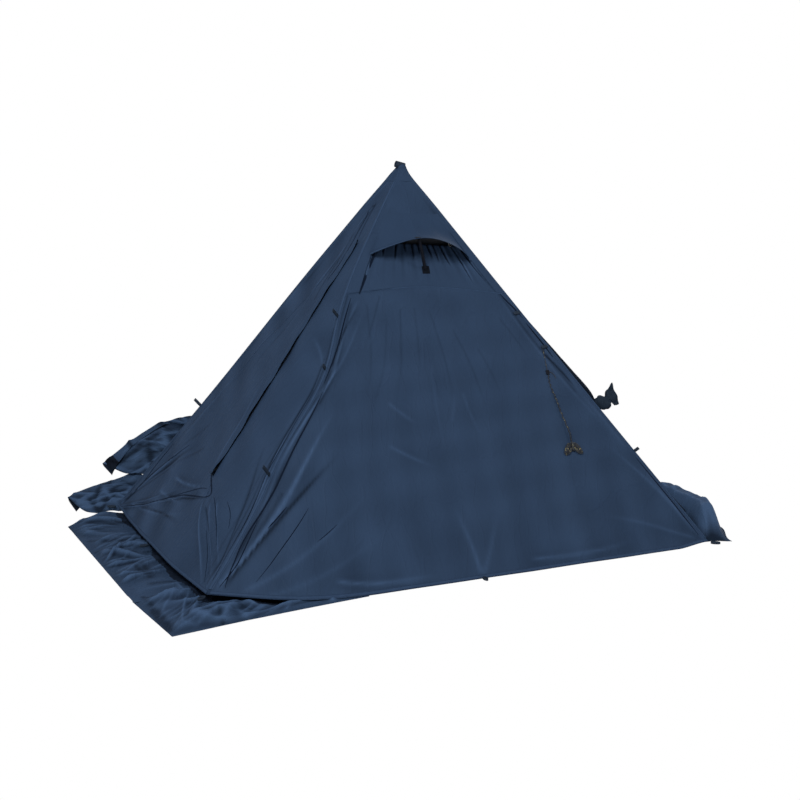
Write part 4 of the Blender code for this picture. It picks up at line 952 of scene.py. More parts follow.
def build_curtain():
    """Pleated curtain: even pleats along its top, and deeper slits that close further down."""
    k, fall = np.meshgrid(np.linspace(0, 1, PLEATS * 16 + 1), np.linspace(0, 1, 31))
    u = mix(0.008, 0.992, k)
    v = mix(CURTAIN_TOP_V + 0.015 * u, curtain_low(u), fall)
    swing = k + 0.01 * np.sin(2 * math.pi * 3.3 * k) + 0.02 * (k - 0.5) * fall
    fold = (0.5 - 0.5 * np.cos(2 * math.pi * PLEATS * swing)) ** 2
    uneven = 0.65 + 0.35 * np.sin(5.0 * k * math.pi + 0.7)
    depth = 0.4 * PLEAT_DEPTH * uneven * (1 - fall) ** 1.1 * fold
    wide = v * hem_length("right")
    for place, reach, deep_by in SLITS:
        beside = (k - place - 0.006 * np.sin(5 * fall + 30 * place)) * wide
        narrow = 0.005 * (1.25 - fall)
        depth = depth + deep_by * np.exp(-(beside / narrow) ** 2) * smooth((reach - fall) / (0.7 * reach))
    points = wall("right", u, v, -0.0045 * (1 - fall) - depth)
    curtain = cloth_piece("Vent_curtain", points, flat_uv("right", u, v), outward("right"), VENT_CLOTH)
    shade_creases(curtain, -depth)


def build_vent():
    normal = outward("right")
    peak = wall_piece("Right_peak_panel", "right", (WALL_TOP_V, HOOD_BEND_V), 0.0, 1.0, 0.008, 44)
    peak.modifiers["Thickness"].use_rim = False
    build_hood()
    u, v = between_ridges(np.linspace(HOOD_BEND_V + 0.004, CURTAIN_TOP_V + 0.03, 12), 0.003, 24)
    points = wall("right", u, v, -0.009 - 0.018 * smooth((v - CURTAIN_TOP_V + 0.02) / 0.03))
    cloth_piece("Vent_mesh", points, flat_uv("right", u, v), normal, NET,
                thickness=0.0005)
    build_curtain()
    seam_strip("Vent_lower_seam", lambda t: (t, curtain_low(t)), "right", 0.0025, 0.0009)
    t, s = np.linspace(0, 1, 30), np.linspace(0, 1, 10)
    for name, inner_top, inner_low, outer in VENT_SIDES:
        u = outer + (mix(inner_top, inner_low, t)[:, None] - outer) * s[None, :]
        v = mix(HOOD_BEND_V + 0.05, curtain_low(u), t[:, None])
        cloth_piece(name, wall("right", u, v, 0.0022), flat_uv("right", u, v), normal, VENT_CLOTH)


def build_right_wall():
    fall, u = np.meshgrid(np.linspace(0, 1, 151), np.linspace(0, 1, 201), indexing="ij")
    wall_panel("Right_wall_panel", "right", u, mix(curtain_low(u), 1.0, fall))


# Seams and hems

def ribbon(name, side, u, v, half, lift, tuck, material, body=FLY, along=None):
    """Narrow strip along a line (u, v) of a wall, with its edges tucked down to the cloth."""
    out = outward(side)
    spine = wall(side, u, v, lift + relief(side, u, v))
    half = np.broadcast_to(half, u.shape)[:, None]
    reach = half * np.linspace(-1, 1, 5)[None, :]
    points = spine[:, None, :] + np.cross(out, directions(spine))[:, None, :] * reach[..., None]
    points = points - out * (tuck * (np.abs(reach) > half * 0.9))[..., None]
    along = travelled(spine) if along is None else along
    uv = np.stack([reach, np.broadcast_to(along[:, None], reach.shape)], axis=-1)
    grid_piece(name, points, uv, out, material, body)


def seam_strip(name, line, side, half_width, lift, samples=160):
    """Narrow sewn strip that follows a line (u, v) of t on a wall."""
    u, v = np.array([line(t) for t in np.linspace(0, 1, samples)], float).T
    ribbon(name, side, u, v, half_width, lift, 0.0006, SEAM_CLOTH)


# Painted shade: dark strips along folds that the sun doesn't reach: half width in metres and a line of (u,
# v)
CREASES = {
    "front": (
        ("Top_tuck_outer", 0.0035, ((0.323, 0.109), (0.494, 0.155), (0.567, 0.205), (0.57, 0.234))),
        ("Top_tuck_low", 0.0035, ((0.57, 0.242), (0.566, 0.275), (0.527, 0.309))),
        ("Top_tuck_inner", 0.0025, ((0.45, 0.105), (0.589, 0.148), (0.682, 0.195))),
        ("Door_foot", 0.0035, ((0.038, 0.995), (0.239, 0.948), (0.328, 0.919))),
        ("Door_foot_far", 0.0035, ((0.328, 0.919), (0.48, 0.878), (0.673, 0.852))),
        ("Door_foot_fold", 0.0025, ((0.328, 0.919), (0.45, 0.879), (0.568, 0.846), (0.64, 0.836))),
        ("Door_slit", 0.005, ((0.605, 0.8), (0.612, 0.812), (0.692, 0.838), (0.673, 0.852))),
        ("Foot_fold_right", 0.0028, ((0.735, 0.842), (0.79, 0.862), (0.85, 0.892), (0.9, 0.922))),
        ("Foot_fold_far", 0.002, ((0.825, 0.838), (0.875, 0.858), (0.91, 0.885))),
        ("Foot_fold_left", 0.002, ((0.8, 0.905), (0.87, 0.94), (0.955, 0.985))),
        ("Ridge_line", 0.003, ((0.967, 0.571), (0.977, 0.659), (0.982, 0.742), (0.972, 0.807), (0.981, 0.88),
                                (0.992, 0.975))),
        ("Corner_fold_long", 0.0045, ((0.033, 0.99), (0.051, 0.919), (0.109, 0.849), (0.211, 0.781))),
        ("Corner_fold_short", 0.005, ((0.033, 0.985), (0.055, 0.93), (0.04, 0.87), (0.03, 0.8))),
    ),
    "right": (
        ("Ridge_fold_outer", 0.0045, ((0.024, 0.575), (0.029, 0.658), (0.028, 0.764), (0.02, 0.825),
                                      (0.012, 0.891), (0.015, 0.949), (0.022, 0.986))),
        ("Ridge_fold_inner", 0.003, ((0.018, 0.855), (0.0205, 0.904), (0.02, 0.945), (0.013, 0.986))),
        ("Vent_corner_fold", 0.0035, ((0.045, 0.345), (0.039, 0.394), (0.029, 0.461), (0.018, 0.517),
                                      (0.015, 0.555))),
        ("Vent_slit_left", 0.0065, ((0.124, 0.215), (0.116, 0.245), (0.106, 0.275), (0.099, 0.302),
                                    (0.089, 0.335))),
        ("Far_ridge_top", 0.0035, ((0.962, 0.342), (0.967, 0.358), (0.98, 0.382), (0.988, 0.408))),
        ("Far_ridge_middle", 0.004, ((0.983, 0.42), (0.985, 0.448), (0.984, 0.48), (0.982, 0.51))),
        ("Far_ridge_low", 0.003, ((0.991, 0.775), (0.99, 0.849), (0.99, 0.929), (0.991, 0.98))),
        ("Hem_fold_long", 0.0022, ((0.115, 0.83), (0.104, 0.864), (0.082, 0.923), (0.065, 0.972))),
        ("Hem_fold_short", 0.003, ((0.066, 0.827), (0.055, 0.85), (0.045, 0.871))),
        ("Hem_fold_right", 0.002, ((0.19, 0.865), (0.172, 0.882), (0.154, 0.897))),
    ),
}
DOOR_CREASES = ("Top_tuck_low", "Door_foot_far", "Door_foot_fold", "Corner_fold_long", "Corner_fold_short")


def build_creases():
    """Narrow dark strips of painted shade along the folds, which lie on the door where they cross it."""
    t = np.linspace(0, 1, 60)
    swell = np.sqrt(np.clip(np.sin(math.pi * np.clip(t, 0.02, 0.98)), 0.05, 1))
    for side, folds in CREASES.items():
        for name, half_width, line in folds:
            u, v = np.array(curve_through([np.array(p) for p in line], 24)).T
            place = np.linspace(0, 1, len(u))
            u, v = np.interp(t, place, u), np.interp(t, place, v)
            above = 0.004 if name.startswith("Vent_slit") else 0.001
            ribbon(side.title() + "_" + name, side, u, v, half_width * swell, above, 0.0008, FOLD_SHADE,
                   DOOR if name in DOOR_CREASES else FLY, t)


def build_ridges():
    """Felled seam over each ridge, highest in the middle."""
    v = np.linspace(0.024, 0.99, 190)
    grown = smooth((v - 0.02) / 0.1)
    half = SEAM_HALF_WIDTH
    levels = ((half, 0.0006), (half * 0.55, 0.0024))
    for corner in CORNERS:
        before, after = ridge_sides(corner)
        out = ridge_out(corner)
        middle = ridge_point(corner, v) + out * (0.0034 * grown[:, None])
        left = [wall(before, 1 - inset(before, v, reach), v, lift * grown) for reach, lift in levels]
        right = [wall(after, inset(after, v, reach), v, lift * grown) for reach, lift in levels[::-1]]
        points = np.stack([*left, middle, *right], axis=1)
        uv = strip_uv(half * np.linspace(-1, 1, 5), travelled(middle))
        grid_piece("Ridge_seam_" + corner, points, uv, out, SEAM_CLOTH,
                   replaced=("ridge_binding_" + corner,))


def build_hems():
    half = HEM_WIDTH / 2
    for side in SIDES:
        v_line = 1 - half / slope_length(side)
        seam_strip(side.title() + "_hem", lambda t, v=v_line: (mix(0.004, 0.996, t), v), side, half,
                   0.0012, 220)


# Apex, webbing and tabs

def build_apex():
    """Cap over the walls' upper ends, rounded off over the pole's tip."""
    v = np.linspace(0.002, 0.045, 16)
    around = np.linspace(0, 4, 65)
    points = np.zeros((len(v), len(around), 3))
    names = list(SIDES)
    for k, place in enumerate(around):
        side = names[int(min(place, 3.999))]
        u = place - names.index(side)
        above = mix(0.0028, 0.0002, smooth(v / 0.044))
        points[:, k] = wall(side, u, v, relief(side, np.full_like(v, u), v) + above)
    round_off = 1 - smooth(v / 0.03)
    away = np.linalg.norm(points[..., :2], axis=-1)
    wider = np.sqrt(away ** 2 + (0.016 * smooth(v / 0.01) * round_off)[:, None] ** 2)
    points[..., :2] *= (wider / np.maximum(away, 1e-6))[..., None]
    points[..., 2] += (0.01 * round_off)[:, None]
    ripple = 0.0009 * np.sin(around * 9)[None, :] * smooth(v / 0.05)[:, None]
    points[..., 0] += ripple * np.sign(points[..., 0])
    uv = strip_uv(around * 0.066, v * 2)
    cap = grid_piece("Apex_cap", points, uv, None, FLY_CLOTH)
    thicken(cap, 0.0003, 1.0)
    declare_cloth(uv)


def strap_loop(name, root, out, across, reach, spread, width):
    """Webbing bent into a loop, with rounded edges and its ends sewn together at the root."""
    side = unit(np.cross(out, across))
    centre = root + out * (reach / 2)
    section = [(-0.5, 0.0), (-0.46, -0.5), (0.46, -0.5), (0.5, 0.0), (0.46, 0.5), (-0.46, 0.5)]
    spots, uvs = [], []
    for k in range(STRAP_STEPS):
        angle = 2 * math.pi * k / STRAP_STEPS
        arm = out * math.cos(angle) * (reach - STRAP) / 2 + side * math.sin(angle) * (spread - STRAP) / 2
        spine = unit(out * math.cos(angle) / reach + side * math.sin(angle) / spread)
        for edge, level in section:
            spots.append(centre + arm + across * edge * width + spine * level * STRAP)
            uvs.append((edge * width, k * 0.003))
    size = len(section)
    faces = []
    for k in range(STRAP_STEPS):
        for j in range(size):
            here, there = k * size, ((k + 1) % STRAP_STEPS) * size
            faces.append((here + j, here + (j + 1) % size, there + (j + 1) % size, there + j))
    mesh = new_mesh(name, np.array(spots), np.array(faces), np.array(uvs))
    add_piece(name, mesh, WEBBING)


def build_straps():
    """Peg loops round the hem, the loop on the apex and the webbing tabs on the ridges."""
    z_axis = np.array([0.0, 0.0, 1.0])
    for corner, spot in CORNERS.items():
        out = unit([spot[0], spot[1], 0])
        hem = ridge_point(corner, 1.0)
        root = np.array([hem[0], hem[1], max(hem[2] - 0.008, 0.0135) + 0.002]) + out * 0.01
        strap_loop("Peg_loop_" + corner, root, out, z_axis, 0.044, 0.02, 0.0105)
    for side in ("front", "right"):
        hem, out = wall(side, 0.5, 1.0), flat_out(side)
        root = np.array([hem[0], hem[1], max(hem[2] - 0.004, 0.0115)]) + out * 0.006
        strap_loop("Peg_loop_mid_" + side, root, out, z_axis, 0.04, 0.018, 0.0105)
    peak = APEX + np.array([-0.004, -0.012, -0.016])
    lean = unit([0.1, 0.26, 1.0])
    strap_loop("Apex_loop", peak, lean, unit(np.cross([1.0, 0.0, 0.0], lean)), 0.03, 0.026, 0.046)
    for corner, v, level in TABS:
        middle = ridge_point(corner, v)
        along = unit(wall(ridge_sides(corner)[1], 0.0, v + 0.04) - middle)
        out = ridge_out(corner)
        out = unit(out - along * (out @ along))
        if corner == "rear_right" and level != "lower":
            out = unit(outward("right") * 0.35 + np.array([0.0, -0.9, -0.25]))
        strap_loop("Ridge_tab_" + level + "_" + corner, middle + out * 0.002, out, along,
                   TAB_LENGTHS.get((corner, level), 0.026), 0.006, 0.0145)


# Ground skirt

def hem_root(side, u):
    """Where a skirt is sewn on, just inside the hem and a little above its edge."""
    return wall(side, u, 1.0) - flat_out(side) * SKIRT_ROOT_IN + np.array([0, 0, SKIRT_ROOT_UP])


def wrinkle(across, down, angle, sharpness, size):
    """Sharp fold of height 1 through a point, at an angle."""
    beside = across * math.sin(angle) - down * math.cos(angle)
    along = across * math.cos(angle) + down * math.sin(angle)
    return np.exp(-np.abs(beside) / sharpness - (along / size) ** 2)


def skirt_piece(name, root, inner, outer, waves, columns, drape_at=lambda s, t: 0.0, looseness=1.0):
    """Loose strip from its sewn root down to an inner line and on to an outer one, for s from 0 to 1."""
    s, t = np.linspace(0, 1, columns + 1), np.linspace(0, 1, 41)
    sewn, near, far = (np.array([line(x) for x in s]) for line in (root, inner, outer))
    S, T = np.meshgrid(s, t)
    points = near[None] + (far - near)[None] * T[..., None]
    wave = 0.5 - 0.5 * np.cos(2 * math.pi * (waves * S + 0.15 * np.sin(3 * T)))
    lift = 0.01 * wave * smooth(T / 0.5) * (1 - smooth((T - 0.6) / 0.4))
    drape = np.vectorize(drape_at)(S, T)
    lift = lift + drape
    length = float(np.linalg.norm(np.diff(near, axis=0), axis=1).sum())
    width = float(np.linalg.norm(far - near, axis=1).mean())
    seed = named_draws(name)
    loose = smooth(T / 0.12)
    for _ in range(SKIRT_WRINKLES):
        angle = seed.normal(math.pi / 2, 0.5)
        across = (S - seed.uniform(0, 1)) * length
        down = (T - seed.uniform(0.1, 0.9)) * width
        size = seed.uniform(0.05, 0.15)
        rise, sharpness = seed.uniform(0.004, 0.013), seed.uniform(0.008, 0.026)
        lift += rise * wrinkle(across, down, angle, sharpness, size) * loose
    for _ in range(round(SKIRT_FOLDS_PER_METRE * length)):
        across = (S - seed.uniform(0, 1)) * length
        slant, at = seed.uniform(-1.4, 1.4), seed.uniform(0.2, 0.8)
        beside = across - slant * (T - at) * width
        reach = np.exp(-((T - at) * width / seed.uniform(0.06, 0.15)) ** 2)
        lift += (seed.uniform(0.006, 0.018) * np.exp(-(beside / seed.uniform(0.014, 0.04)) ** 2)
                 * reach * loose)
    lift = drape + (lift - drape) * looseness * (1 - 0.95 * smooth((T - 0.78) / 0.2))
    points[..., 2] += lift
    points[..., 2] += 0.001 - points[..., 2].min()
    # Painted shade along the skirt's drawn creases
    drawn = np.max([drawn_line(points[..., 0], points[..., 1], *fold) for fold in SKIRT_FOLDS], axis=0)
    rise = np.array([0.0, 0.34, 0.67])[:, None, None]
    points = np.concatenate([mix(sewn[None], points[:1], rise), points])
    drop = float(np.linalg.norm(near - sewn, axis=1).mean())
    down = np.concatenate([drop * (rise[:, 0] - 1) * np.ones((1, columns + 1)), T * width])
    uv = np.stack([np.broadcast_to(s * length, down.shape), down], axis=-1)
    strip = cloth_piece(name, points, uv, (0, 0, 1), SKIRT_CLOTH)
    # Painted shade: the skirt's first strip below the hem, to a wavy depth, gets the dark material for the
    # shade under the hem
    shown = SHADE_DEPTH * (0.8 + 0.35 * np.sin(9 * s[1:] + 1.1) + 0.2 * np.sin(23 * s[1:]))
    paint(strip, COATED, down[1:, 1:] < shown[None, :])
    shade_creases(strip, np.concatenate([np.repeat(lift[:1], 3, axis=0), lift]) * 0.7,
                  np.concatenate([np.zeros((3, columns + 1)), drawn]))


def curve_grid(lines, along_steps, across_steps):
    """Smooth grid of points through drawn lines of points."""
    dense = [curve_through([np.array(p) for p in line], along_steps) for line in lines]
    columns = [curve_through(list(column), across_steps) for column in zip(*dense)]
    return np.array(columns).transpose(1, 0, 2)


def standing_skirt(name, lines):
    """Strip of skirt that stands up from the hem, crumpled, with its free edge turned over."""
    points = curve_grid(lines, 16, 12)
    down = np.linalg.norm(np.diff(points, axis=0), axis=2).mean(axis=1)
    along = np.linalg.norm(np.diff(points, axis=1), axis=2).mean(axis=0)
    T = np.broadcast_to(np.concatenate([[0], np.cumsum(down)])[:, None], points.shape[:2])
    S = np.broadcast_to(np.concatenate([[0], np.cumsum(along)])[None, :], points.shape[:2])
    normal = unit_rows(np.cross(np.gradient(points, axis=1), np.gradient(points, axis=0)))
    seed = named_draws(name)
    height = np.zeros(points.shape[:2])
    for _ in range(round(CRUMPLES_PER_METRE * S.max())):
        angle, size = seed.uniform(0, math.pi), seed.uniform(0.04, 0.14)
        across = S - seed.uniform(0, S.max())
        fall = T - seed.uniform(0, T.max())
        height += seed.uniform(-0.016, 0.016) * wrinkle(across, fall, angle, seed.uniform(0.01, 0.03), size)
    points = points + normal * (height * smooth(T / 0.06))[..., None]
    points[..., 2] += 0.001 - min(points[..., 2].min(), 0.001)
    strip = cloth_piece(name, points, np.stack([S, T], axis=-1), (0, 0, 1), SKIRT_CLOTH)
    shade_creases(strip, height * 0.9)
    rows, columns = points.shape[0] - 1, points.shape[1] - 1
    from_edge, from_end = np.meshgrid(np.arange(rows)[::-1], np.arange(columns), indexing="ij")
    # Painted shade: the turned-over end of the free edge gets the dark material for the shade on its
    # underside
    paint(strip, COATED, (from_edge < TIP_ROWS) & (from_end < TIP_COLUMNS))


def hem_lines(side, u0, u1, tuck, low):
    """Sewn root and inner line of a skirt along one hem."""
    def root(s):
        return hem_root(side, mix(u0, u1, s))

    def inner(s):
        hem = wall(side, mix(u0, u1, s), 1.0)
        return np.array([hem[0], hem[1] + tuck, hem[2] * low])

    return root, inner


def build_skirts():
    def front_outer(s):
        return np.array([mix(-0.66, 0.66, s), mix(-1.476, -1.449, s), 0.004 * smooth((s - 0.9) / 0.05)])

    def front_lift(s, t):
        return 0.024 * bump(s, 0.0, 0.09) * math.sin(math.pi * t)

    front_lines = hem_lines("front", 0.02, 0.86, SKIRT_TUCK, 0.2)
    skirt_piece("Skirt_front", *front_lines, front_outer, 5, 160, front_lift)

    def corner_root(s):
        if s < 0.4:
            point = hem_root("front", mix(0.835, 0.985, s / 0.4))
            return np.array([min(point[0], 0.735), point[1], point[2]])
        point = hem_root("right", mix(0.015, 0.28, (s - 0.4) / 0.6))
        return np.array([point[0], max(point[1], -1.13), point[2]])

    def corner_inner(s):
        if s < 0.4:
            return np.array([mix(0.53, 0.765, s / 0.4), -1.165, 0.01])
        along = (s - 0.4) / 0.6
        hem = wall("right", mix(0.004, 0.28, along), 1.0)
        return np.array([hem[0] - SKIRT_TUCK, max(hem[1], -1.165), mix(0.01, 0.002, along)])

    def corner_outer(s):
        if s < 0.4:
            return np.array([mix(0.63, 1.115, s / 0.4), mix(-1.45, -1.406, s / 0.4), 0])
        along = (s - 0.4) / 0.6
        bow = np.array([-0.01 * math.sin(math.pi * along), 0, 0])
        return mix(np.array([1.115, -1.406, 0]), np.array([0.93, -0.53, 0]), along) + bow

    skirt_piece("Skirt_front_right", corner_root, corner_inner, corner_outer, 3, 120)

    standing_skirt("Skirt_left_front", LEFT_FRONT_LINES)
    standing_skirt("Skirt_left_rear", LEFT_REAR_LINES)

    def rear_outer(s):
        return np.array([mix(0.79, -0.8, s), 1.345 + 0.1 * smooth(s / 0.16), 0])

    def rear_bulge(s, t):
        rise = smooth((t - 0.18) / 0.26) * (1 - smooth((t - 0.6) / 0.4))
        return REAR_BULGE * rise * smooth((s + 0.005) / 0.09) * (1 - smooth((s - 0.32) / 0.3))

    rear_lines = hem_lines("rear", 0.03, 0.97, -SKIRT_TUCK, 0.3)
    skirt_piece("Skirt_rear", *rear_lines, rear_outer, 5, 180, rear_bulge, 0.5)


# Rolled rear door

def roll_centre(v):
    droop = ROLL_DROOP * smooth((v - TIE_V) / 0.05) * (1 - 0.5 * smooth((v - 0.84) / 0.1))
    inset_by = 0.042 + 0.01 * bump(v, 0.52, 0.1) + droop
    return wall("rear", inset("rear", v, inset_by), v)


def roll_radius(v):
    body = mix(0.004, 0.018, smooth((v - 0.34) / 0.3))
    below = 0.008 * bump(v, TIE_V + 0.05, 0.06) + 0.003 * smooth((v - 0.8) / 0.1)
    return body - 0.01 * bump(v, TIE_V, 0.022) - below


def build_roll():
    """Rear door wound up with its dark face out, gathered by its tie, and the flared free end."""
    normal = outward("rear")
    v = np.linspace(0.225, 0.94, 150)
    angle = np.linspace(0, 2 * math.pi, 49)
    centre, radius = roll_centre(v), roll_radius(v)
    along = directions(centre)
    across = unit_rows(np.cross(along, normal))
    centre = centre + normal * (radius * 0.8 + 0.0042)[:, None]
    A, V = np.meshgrid(angle, v)
    lump = 1 + 0.08 * np.sin(3 * A + 9 * V) + 0.05 * np.sin(7 * A - 40 * V) + 0.03 * np.sin(11 * A + 90 * V)
    pinch = 1 + 0.1 * np.sin(9 * A) * bump(V, TIE_V, 0.05)
    size = radius[:, None] * lump * pinch
    points = (centre[:, None] + across[:, None] * (size * np.cos(A))[..., None]
              + normal * (size * 0.8 * np.sin(A))[..., None])
    uv = np.stack([A * 0.02, V * slope_length("rear")], axis=-1)
    roll = grid_piece("Rear_door_roll", points, uv, None, COATED)
    thicken(roll, 0.0006)

    k = int(np.argmin(np.abs(v - TIE_V)))
    strap_loop("Rear_door_tie", centre[k] - across[k] * (radius[k] + 0.006), across[k], along[k],
               2 * radius[k] + 0.012, 2 * radius[k] + 0.008, 0.014)
    knot = centre[k] + normal * (radius[k] * 0.95 - 0.002) - along[k] * 0.02
    away, half = np.array(TAIL_RINGS).T
    steps = np.linspace(0, len(away) - 1, 46)
    away, half = np.interp(steps, range(len(away)), away), np.interp(steps, range(len(half)), half)
    around = np.linspace(0, 2 * math.pi, 41)
    flat = mix(0.75, 0.1, smooth((away - 0.052) / 0.04))
    R, A = np.meshgrid(away, around, indexing="ij")
    crumple = 1 + 0.14 * np.sin(3 * A + 40 * R) + 0.1 * np.sin(5 * A - 70 * R) * smooth(R / 0.02)
    twist = 22 * np.minimum(R, 0.075)
    wide, thick = half[:, None] * crumple, half[:, None] * flat[:, None] * crumple
    x, y = wide * np.cos(A), thick * np.sin(A)
    side = x * np.cos(twist) - y * np.sin(twist)
    deep = x * np.sin(twist) + y * np.cos(twist)
    ruffle = 0.007 * np.sin(x * 110 + 1.0) * smooth((R - 0.07) / 0.03)
    blend = smooth((R - 0.052) / 0.025)
    side, deep = mix(side, x, blend), mix(deep, y + ruffle, blend)
    skew = TAIL_LEAN * x * smooth((R - 0.065) / 0.03)
    points = (knot + normal * (R + skew)[..., None] - along[k] * (R * TAIL_DROP)[..., None]
              + along[k] * side[..., None] + across[k] * deep[..., None])
    uv = np.stack([A * 0.018, R], axis=-1)
    tail = grid_piece("Rear_door_tail", points, uv, None, ROLL_CLOTH)
    thicken(tail, 0.0006)


# Guy line

def guy_point(drop, sideways, lift=0.0):
    v = GUY_TOP_V + drop / slope_length("right")
    width = GUY_Y + sideways
    return wall("right", (width / (v * HALF_LENGTH) + 1) / 2, v, GUY_LIFT + lift)


def hank_route(points_per_loop=36):
    """Loops spiral in on the wall's side, climb one layer and spiral out again."""
    per_layer = HANK_LOOPS // HANK_LAYERS
    route = []
    for k in range(HANK_LOOPS * points_per_loop + 1):
        turn = k / points_per_loop
        angle = 2 * math.pi * turn + math.pi / 2
        ring = per_layer - min(turn, HANK_LOOPS - turn)
        climb = smooth((turn - per_layer + 0.25) / 0.5)
        x = (HANK_HALF_RUN + 0.0036 * ring) * math.cos(angle)
        rise = math.copysign(abs(math.sin(angle)) ** 0.8, math.sin(angle))
        y = (HANK_INNER + HANK_STEP * max(ring, 0.0)) * rise
        y *= HANK_FLAT * (1 - HANK_WAIST * bump(x, 0.0, 0.014))
        y -= HANK_DROOP * (math.sqrt(x * x + 0.0001) - 0.01)
        route.append(guy_point(HANK_DROP - y, x + HANK_ASIDE, climb * LAYER_STEP))
    return route


def curve_through(points, steps):
    padded = [2 * points[0] - points[1], *points, 2 * points[-1] - points[-2]]
    out = []
    for a, b, c, d in zip(padded, padded[1:], padded[2:], padded[3:]):
        for k in range(steps):
            t = k / steps
            out.append(0.5 * ((2 * b) + (c - a) * t + (2 * a - 5 * b + 4 * c - d) * t * t
                              + (3 * b - a - 3 * c + d) * t ** 3))
    out.append(points[-1])
    return out


def cord_piece(name, points, material, replaced=None):
    data = bpy.data.curves.new(name, "CURVE")
    data.dimensions = "3D"
    data.bevel_depth = CORD_DIAMETER / 2
    data.bevel_resolution = 3
    data.use_fill_caps = True
    spline = data.splines.new("POLY")
    spline.points.add(len(points) - 1)
    for knot, point in zip(spline.points, points):
        knot.co = (*(float(x) for x in point), 1.0)
    return add_piece(name, data, material, replaced=replaced)


def build_guy_line():
    loops = hank_route()
    up = unit(guy_point(0, 0) - guy_point(0.1, 0))
    join = loops[0] + up * 0.01
    lead = curve_through([
        guy_point(0, 0), guy_point(0.04, 0), guy_point(GUY_SLIDER_DROP, 0), guy_point(0.16, 0),
        guy_point(0.23, 0.016), guy_point(0.29, 0.026), join + up * 0.045, join + up * 0.012, join], 8)
    route = [*lead[:-1], join, *loops]
    line = cord_piece("Guy_line", route, HANK_CORD, ("guy_line_stretch", "guy_line_hank"))
    normal = outward("right")
    across = np.cross(up, normal)
    waist = guy_point(HANK_DROP + 0.001, HANK_ASIDE, LAYER_STEP / 2)
    turns = []
    for k in range(91):
        angle = 2 * math.pi * WRAP_TURNS * k / 90
        turns.append(waist + across * (0.0034 * (k / 45 - 1)) + up * WRAP_HALF_HEIGHT * math.cos(angle)
                     + normal * (WRAP_HALF_DEPTH * math.sin(angle) + 0.0006))
    wrap = cord_piece("Hank_wrap", turns, HANK_CORD)
    tail_top = guy_point(GUY_SLIDER_DROP - 0.006, 0.006, 0.001)
    drops = ((0, 0), (0.006, 0.008), (0.014, 0.019), (0.024, 0.026), (0.036, 0.029))
    tail_route = [tail_top - up * fall + across * aside for fall, aside in drops]
    tail = cord_piece("Slider_tail", curve_through(tail_route, 8), CORD)
    centre = np.array([lead[k] for k in range(18, len(lead) - 4)])
    angle = np.linspace(0, 2 * math.pi * TWIST_TURNS, 12 * TWIST_TURNS)
    follow = np.linspace(0, len(centre) - 1, len(angle))
    middle = np.stack([np.interp(follow, range(len(centre)), centre[:, k]) for k in range(3)], axis=-1)
    coil = (middle + across * (TWIST_RADIUS * np.cos(angle))[:, None]
            + normal * (TWIST_RADIUS * np.sin(angle) + 0.0012)[:, None])
    second = cord_piece("Guy_line_return", list(coil), CORD)
    [float(x) for x in route[0]]
    strap_loop("Guy_line_loop", guy_point(-0.03, 0, -0.003), -up, across, 0.034, 0.0062, 0.014)


# Hard parts keep their solids

def dress_solids():
    for material, nodes in (
        (TUBE, ("pole_lower_section", "pole_middle_section", "pole_upper_section")),
        (RUBBER, ("pole_foot",)),
        (ZIP_METAL, ("front_zip_slider", "front_zip_pull", "rear_zip_slider")),
        (BLACK_TRIM, ("pole_tip", "guy_line_slider", "vent_prop", "vent_hood_tab")),
        (HOOK_PATCH, ("vent_prop_patch",)),
    ):
        for node in nodes:
            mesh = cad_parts[node].data
            mesh.materials.clear()
            mesh.materials.append(material)


def build_prop_sleeve():
    """Webbing sleeve round the stay, which moves with it."""
    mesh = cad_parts["vent_prop"].data
    place = np.array(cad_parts["vent_prop"].matrix_world)
    spots = np.array([place[:3, :3] @ np.array(vertex.co) + place[:3, 3] for vertex in mesh.vertices])
    top, foot = spots[spots[:, 2].argmax()], spots[spots[:, 2].argmin()]
    across = unit(np.cross(top - foot, outward("right")))
    out = unit(np.cross(across, top - foot))
    height, turn = np.linspace(0.03, 0.97, 30), np.linspace(0, 2 * math.pi, 17)
    centre = spots.mean(axis=0) + (top - foot) * (height[:, None] - 0.5)
    points = (centre[:, None] + across * (0.0075 * np.cos(turn))[None, :, None]
              + out * (0.0055 * np.sin(turn))[None, :, None])
    uv = strip_uv(turn * 0.006, height * 0.14)
    grid_piece("Vent_prop_sleeve", points, uv, None, BLACK_TRIM, "hood_prop")


# Floor, light and camera

FLOOR_HALF = 40
LAMPS_AIM = Vector((0, 0, 0.6))
# Lamps: place, power in watts and width
LAMPS = (
    ("Key", (5.0, -4.0, 6.0), 690, 2.5), ("Left", (-3.5, -6.5, 5.0), 70, 2.0),
    ("Right", (5.0, 6.0, 5.0), 230, 2.0), ("Back", (-5.0, 4.0, 5.5), 150, 3.5),
)


def white_to_camera(add, lit, white):
    """Shader that lights the scene as one shader and looks white to the camera."""
    return add("MixShader", "Shader", {"Fac": add("LightPath", "Is Camera Ray"), 1: lit, 2: white})


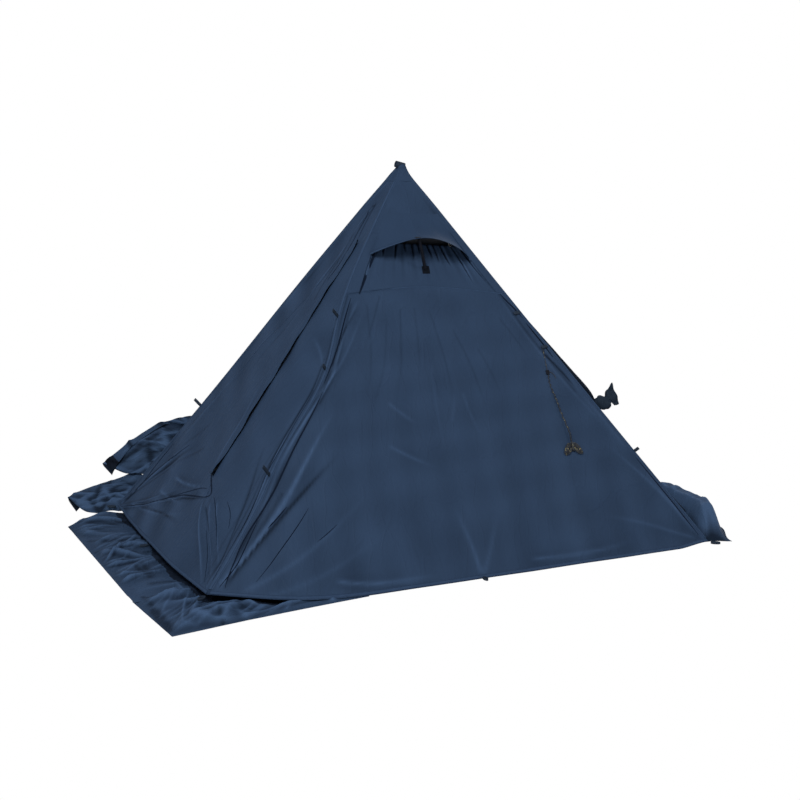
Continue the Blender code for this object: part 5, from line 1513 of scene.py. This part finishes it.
def build_stage():
    mesh = bpy.data.meshes.new("Floor")
    corners = [(x * FLOOR_HALF, y * FLOOR_HALF, 0) for x, y in ((-1, -1), (1, -1), (1, 1), (-1, 1))]
    mesh.from_pydata(corners, [], [(0, 1, 2, 3)])
    floor = new_object("Floor", mesh)
    material, add = new_material("Floor")
    surface(material, {"Base Color": (0.75, 0.75, 0.75, 1), "Roughness": 0.9})
    nodes = material.node_tree.nodes
    shown = white_to_camera(add, nodes["Principled BSDF"].outputs["BSDF"], add("Emission", "Emission"))
    connect(material.node_tree, shown, nodes["Material Output"].inputs["Surface"])
    mesh.materials.append(material)

    world = bpy.data.worlds.new("Studio")
    bpy.context.scene.world = world
    world.use_nodes = True
    world.node_tree.nodes.clear()
    add = node_adder(world.node_tree)
    light = add("Background", "Background", {"Color": (0.9, 0.95, 1.0, 1), "Strength": 0.42})
    white = add("Background", "Background", {"Color": (1, 1, 1, 1)})
    add("OutputWorld", None, {"Surface": white_to_camera(add, light, white)})

    for name, place, power, wide in LAMPS:
        data = bpy.data.lights.new(name, "AREA")
        data.energy = power
        data.size = wide
        lamp = new_object(name, data)
        lamp.location = place
        lamp.rotation_euler = (LAMPS_AIM - Vector(place)).to_track_quat("-Z", "Y").to_euler()


def build_camera():
    """The photograph's own view, solved from the base rectangle, the apex and the mid-side loops."""
    azimuth, elevation, distance = math.radians(67.5), math.radians(10.135), 7.163
    right = Vector((math.cos(azimuth), math.sin(azimuth), 0))
    back = Vector((math.sin(azimuth) * math.cos(elevation), -math.cos(azimuth) * math.cos(elevation),
                   math.sin(elevation)))
    data = bpy.data.cameras.new("Camera")
    data.lens = 68.0
    data.sensor_width = 36.0
    camera = new_object("Camera", data)
    camera.location = right * -0.0078 + Vector((0, 0, 0.6326)) + back * distance
    camera.rotation_euler = (-back).to_track_quat("-Z", "Y").to_euler()
    bpy.context.scene.camera = camera


build_camera()
build_stage()
build_guy_line()
for gable in ("front", "rear"):
    build_gable(gable)
build_door()
build_zip_half("Front_zip_fixed", "front", 1, FLY, "front_zip_tape_fixed")
build_zip_half("Front_zip_door", "front", -1, DOOR, "front_zip_tape_door")
build_zip_half("Rear_zip_fixed", "rear", 1, FLY, "rear_zip_tape_fixed")
build_flap()
build_vent()
build_right_wall()
wall_piece("Left_wall_panel", "left", (WALL_TOP_V, 1.0), 0.0, 1.0, 0.014, 150)
build_ridges()
build_hems()
build_creases()
build_apex()
build_straps()
build_skirts()
build_roll()
build_prop_sleeve()
dress_solids()

bpy.context.scene.view_settings.view_transform = "Standard"
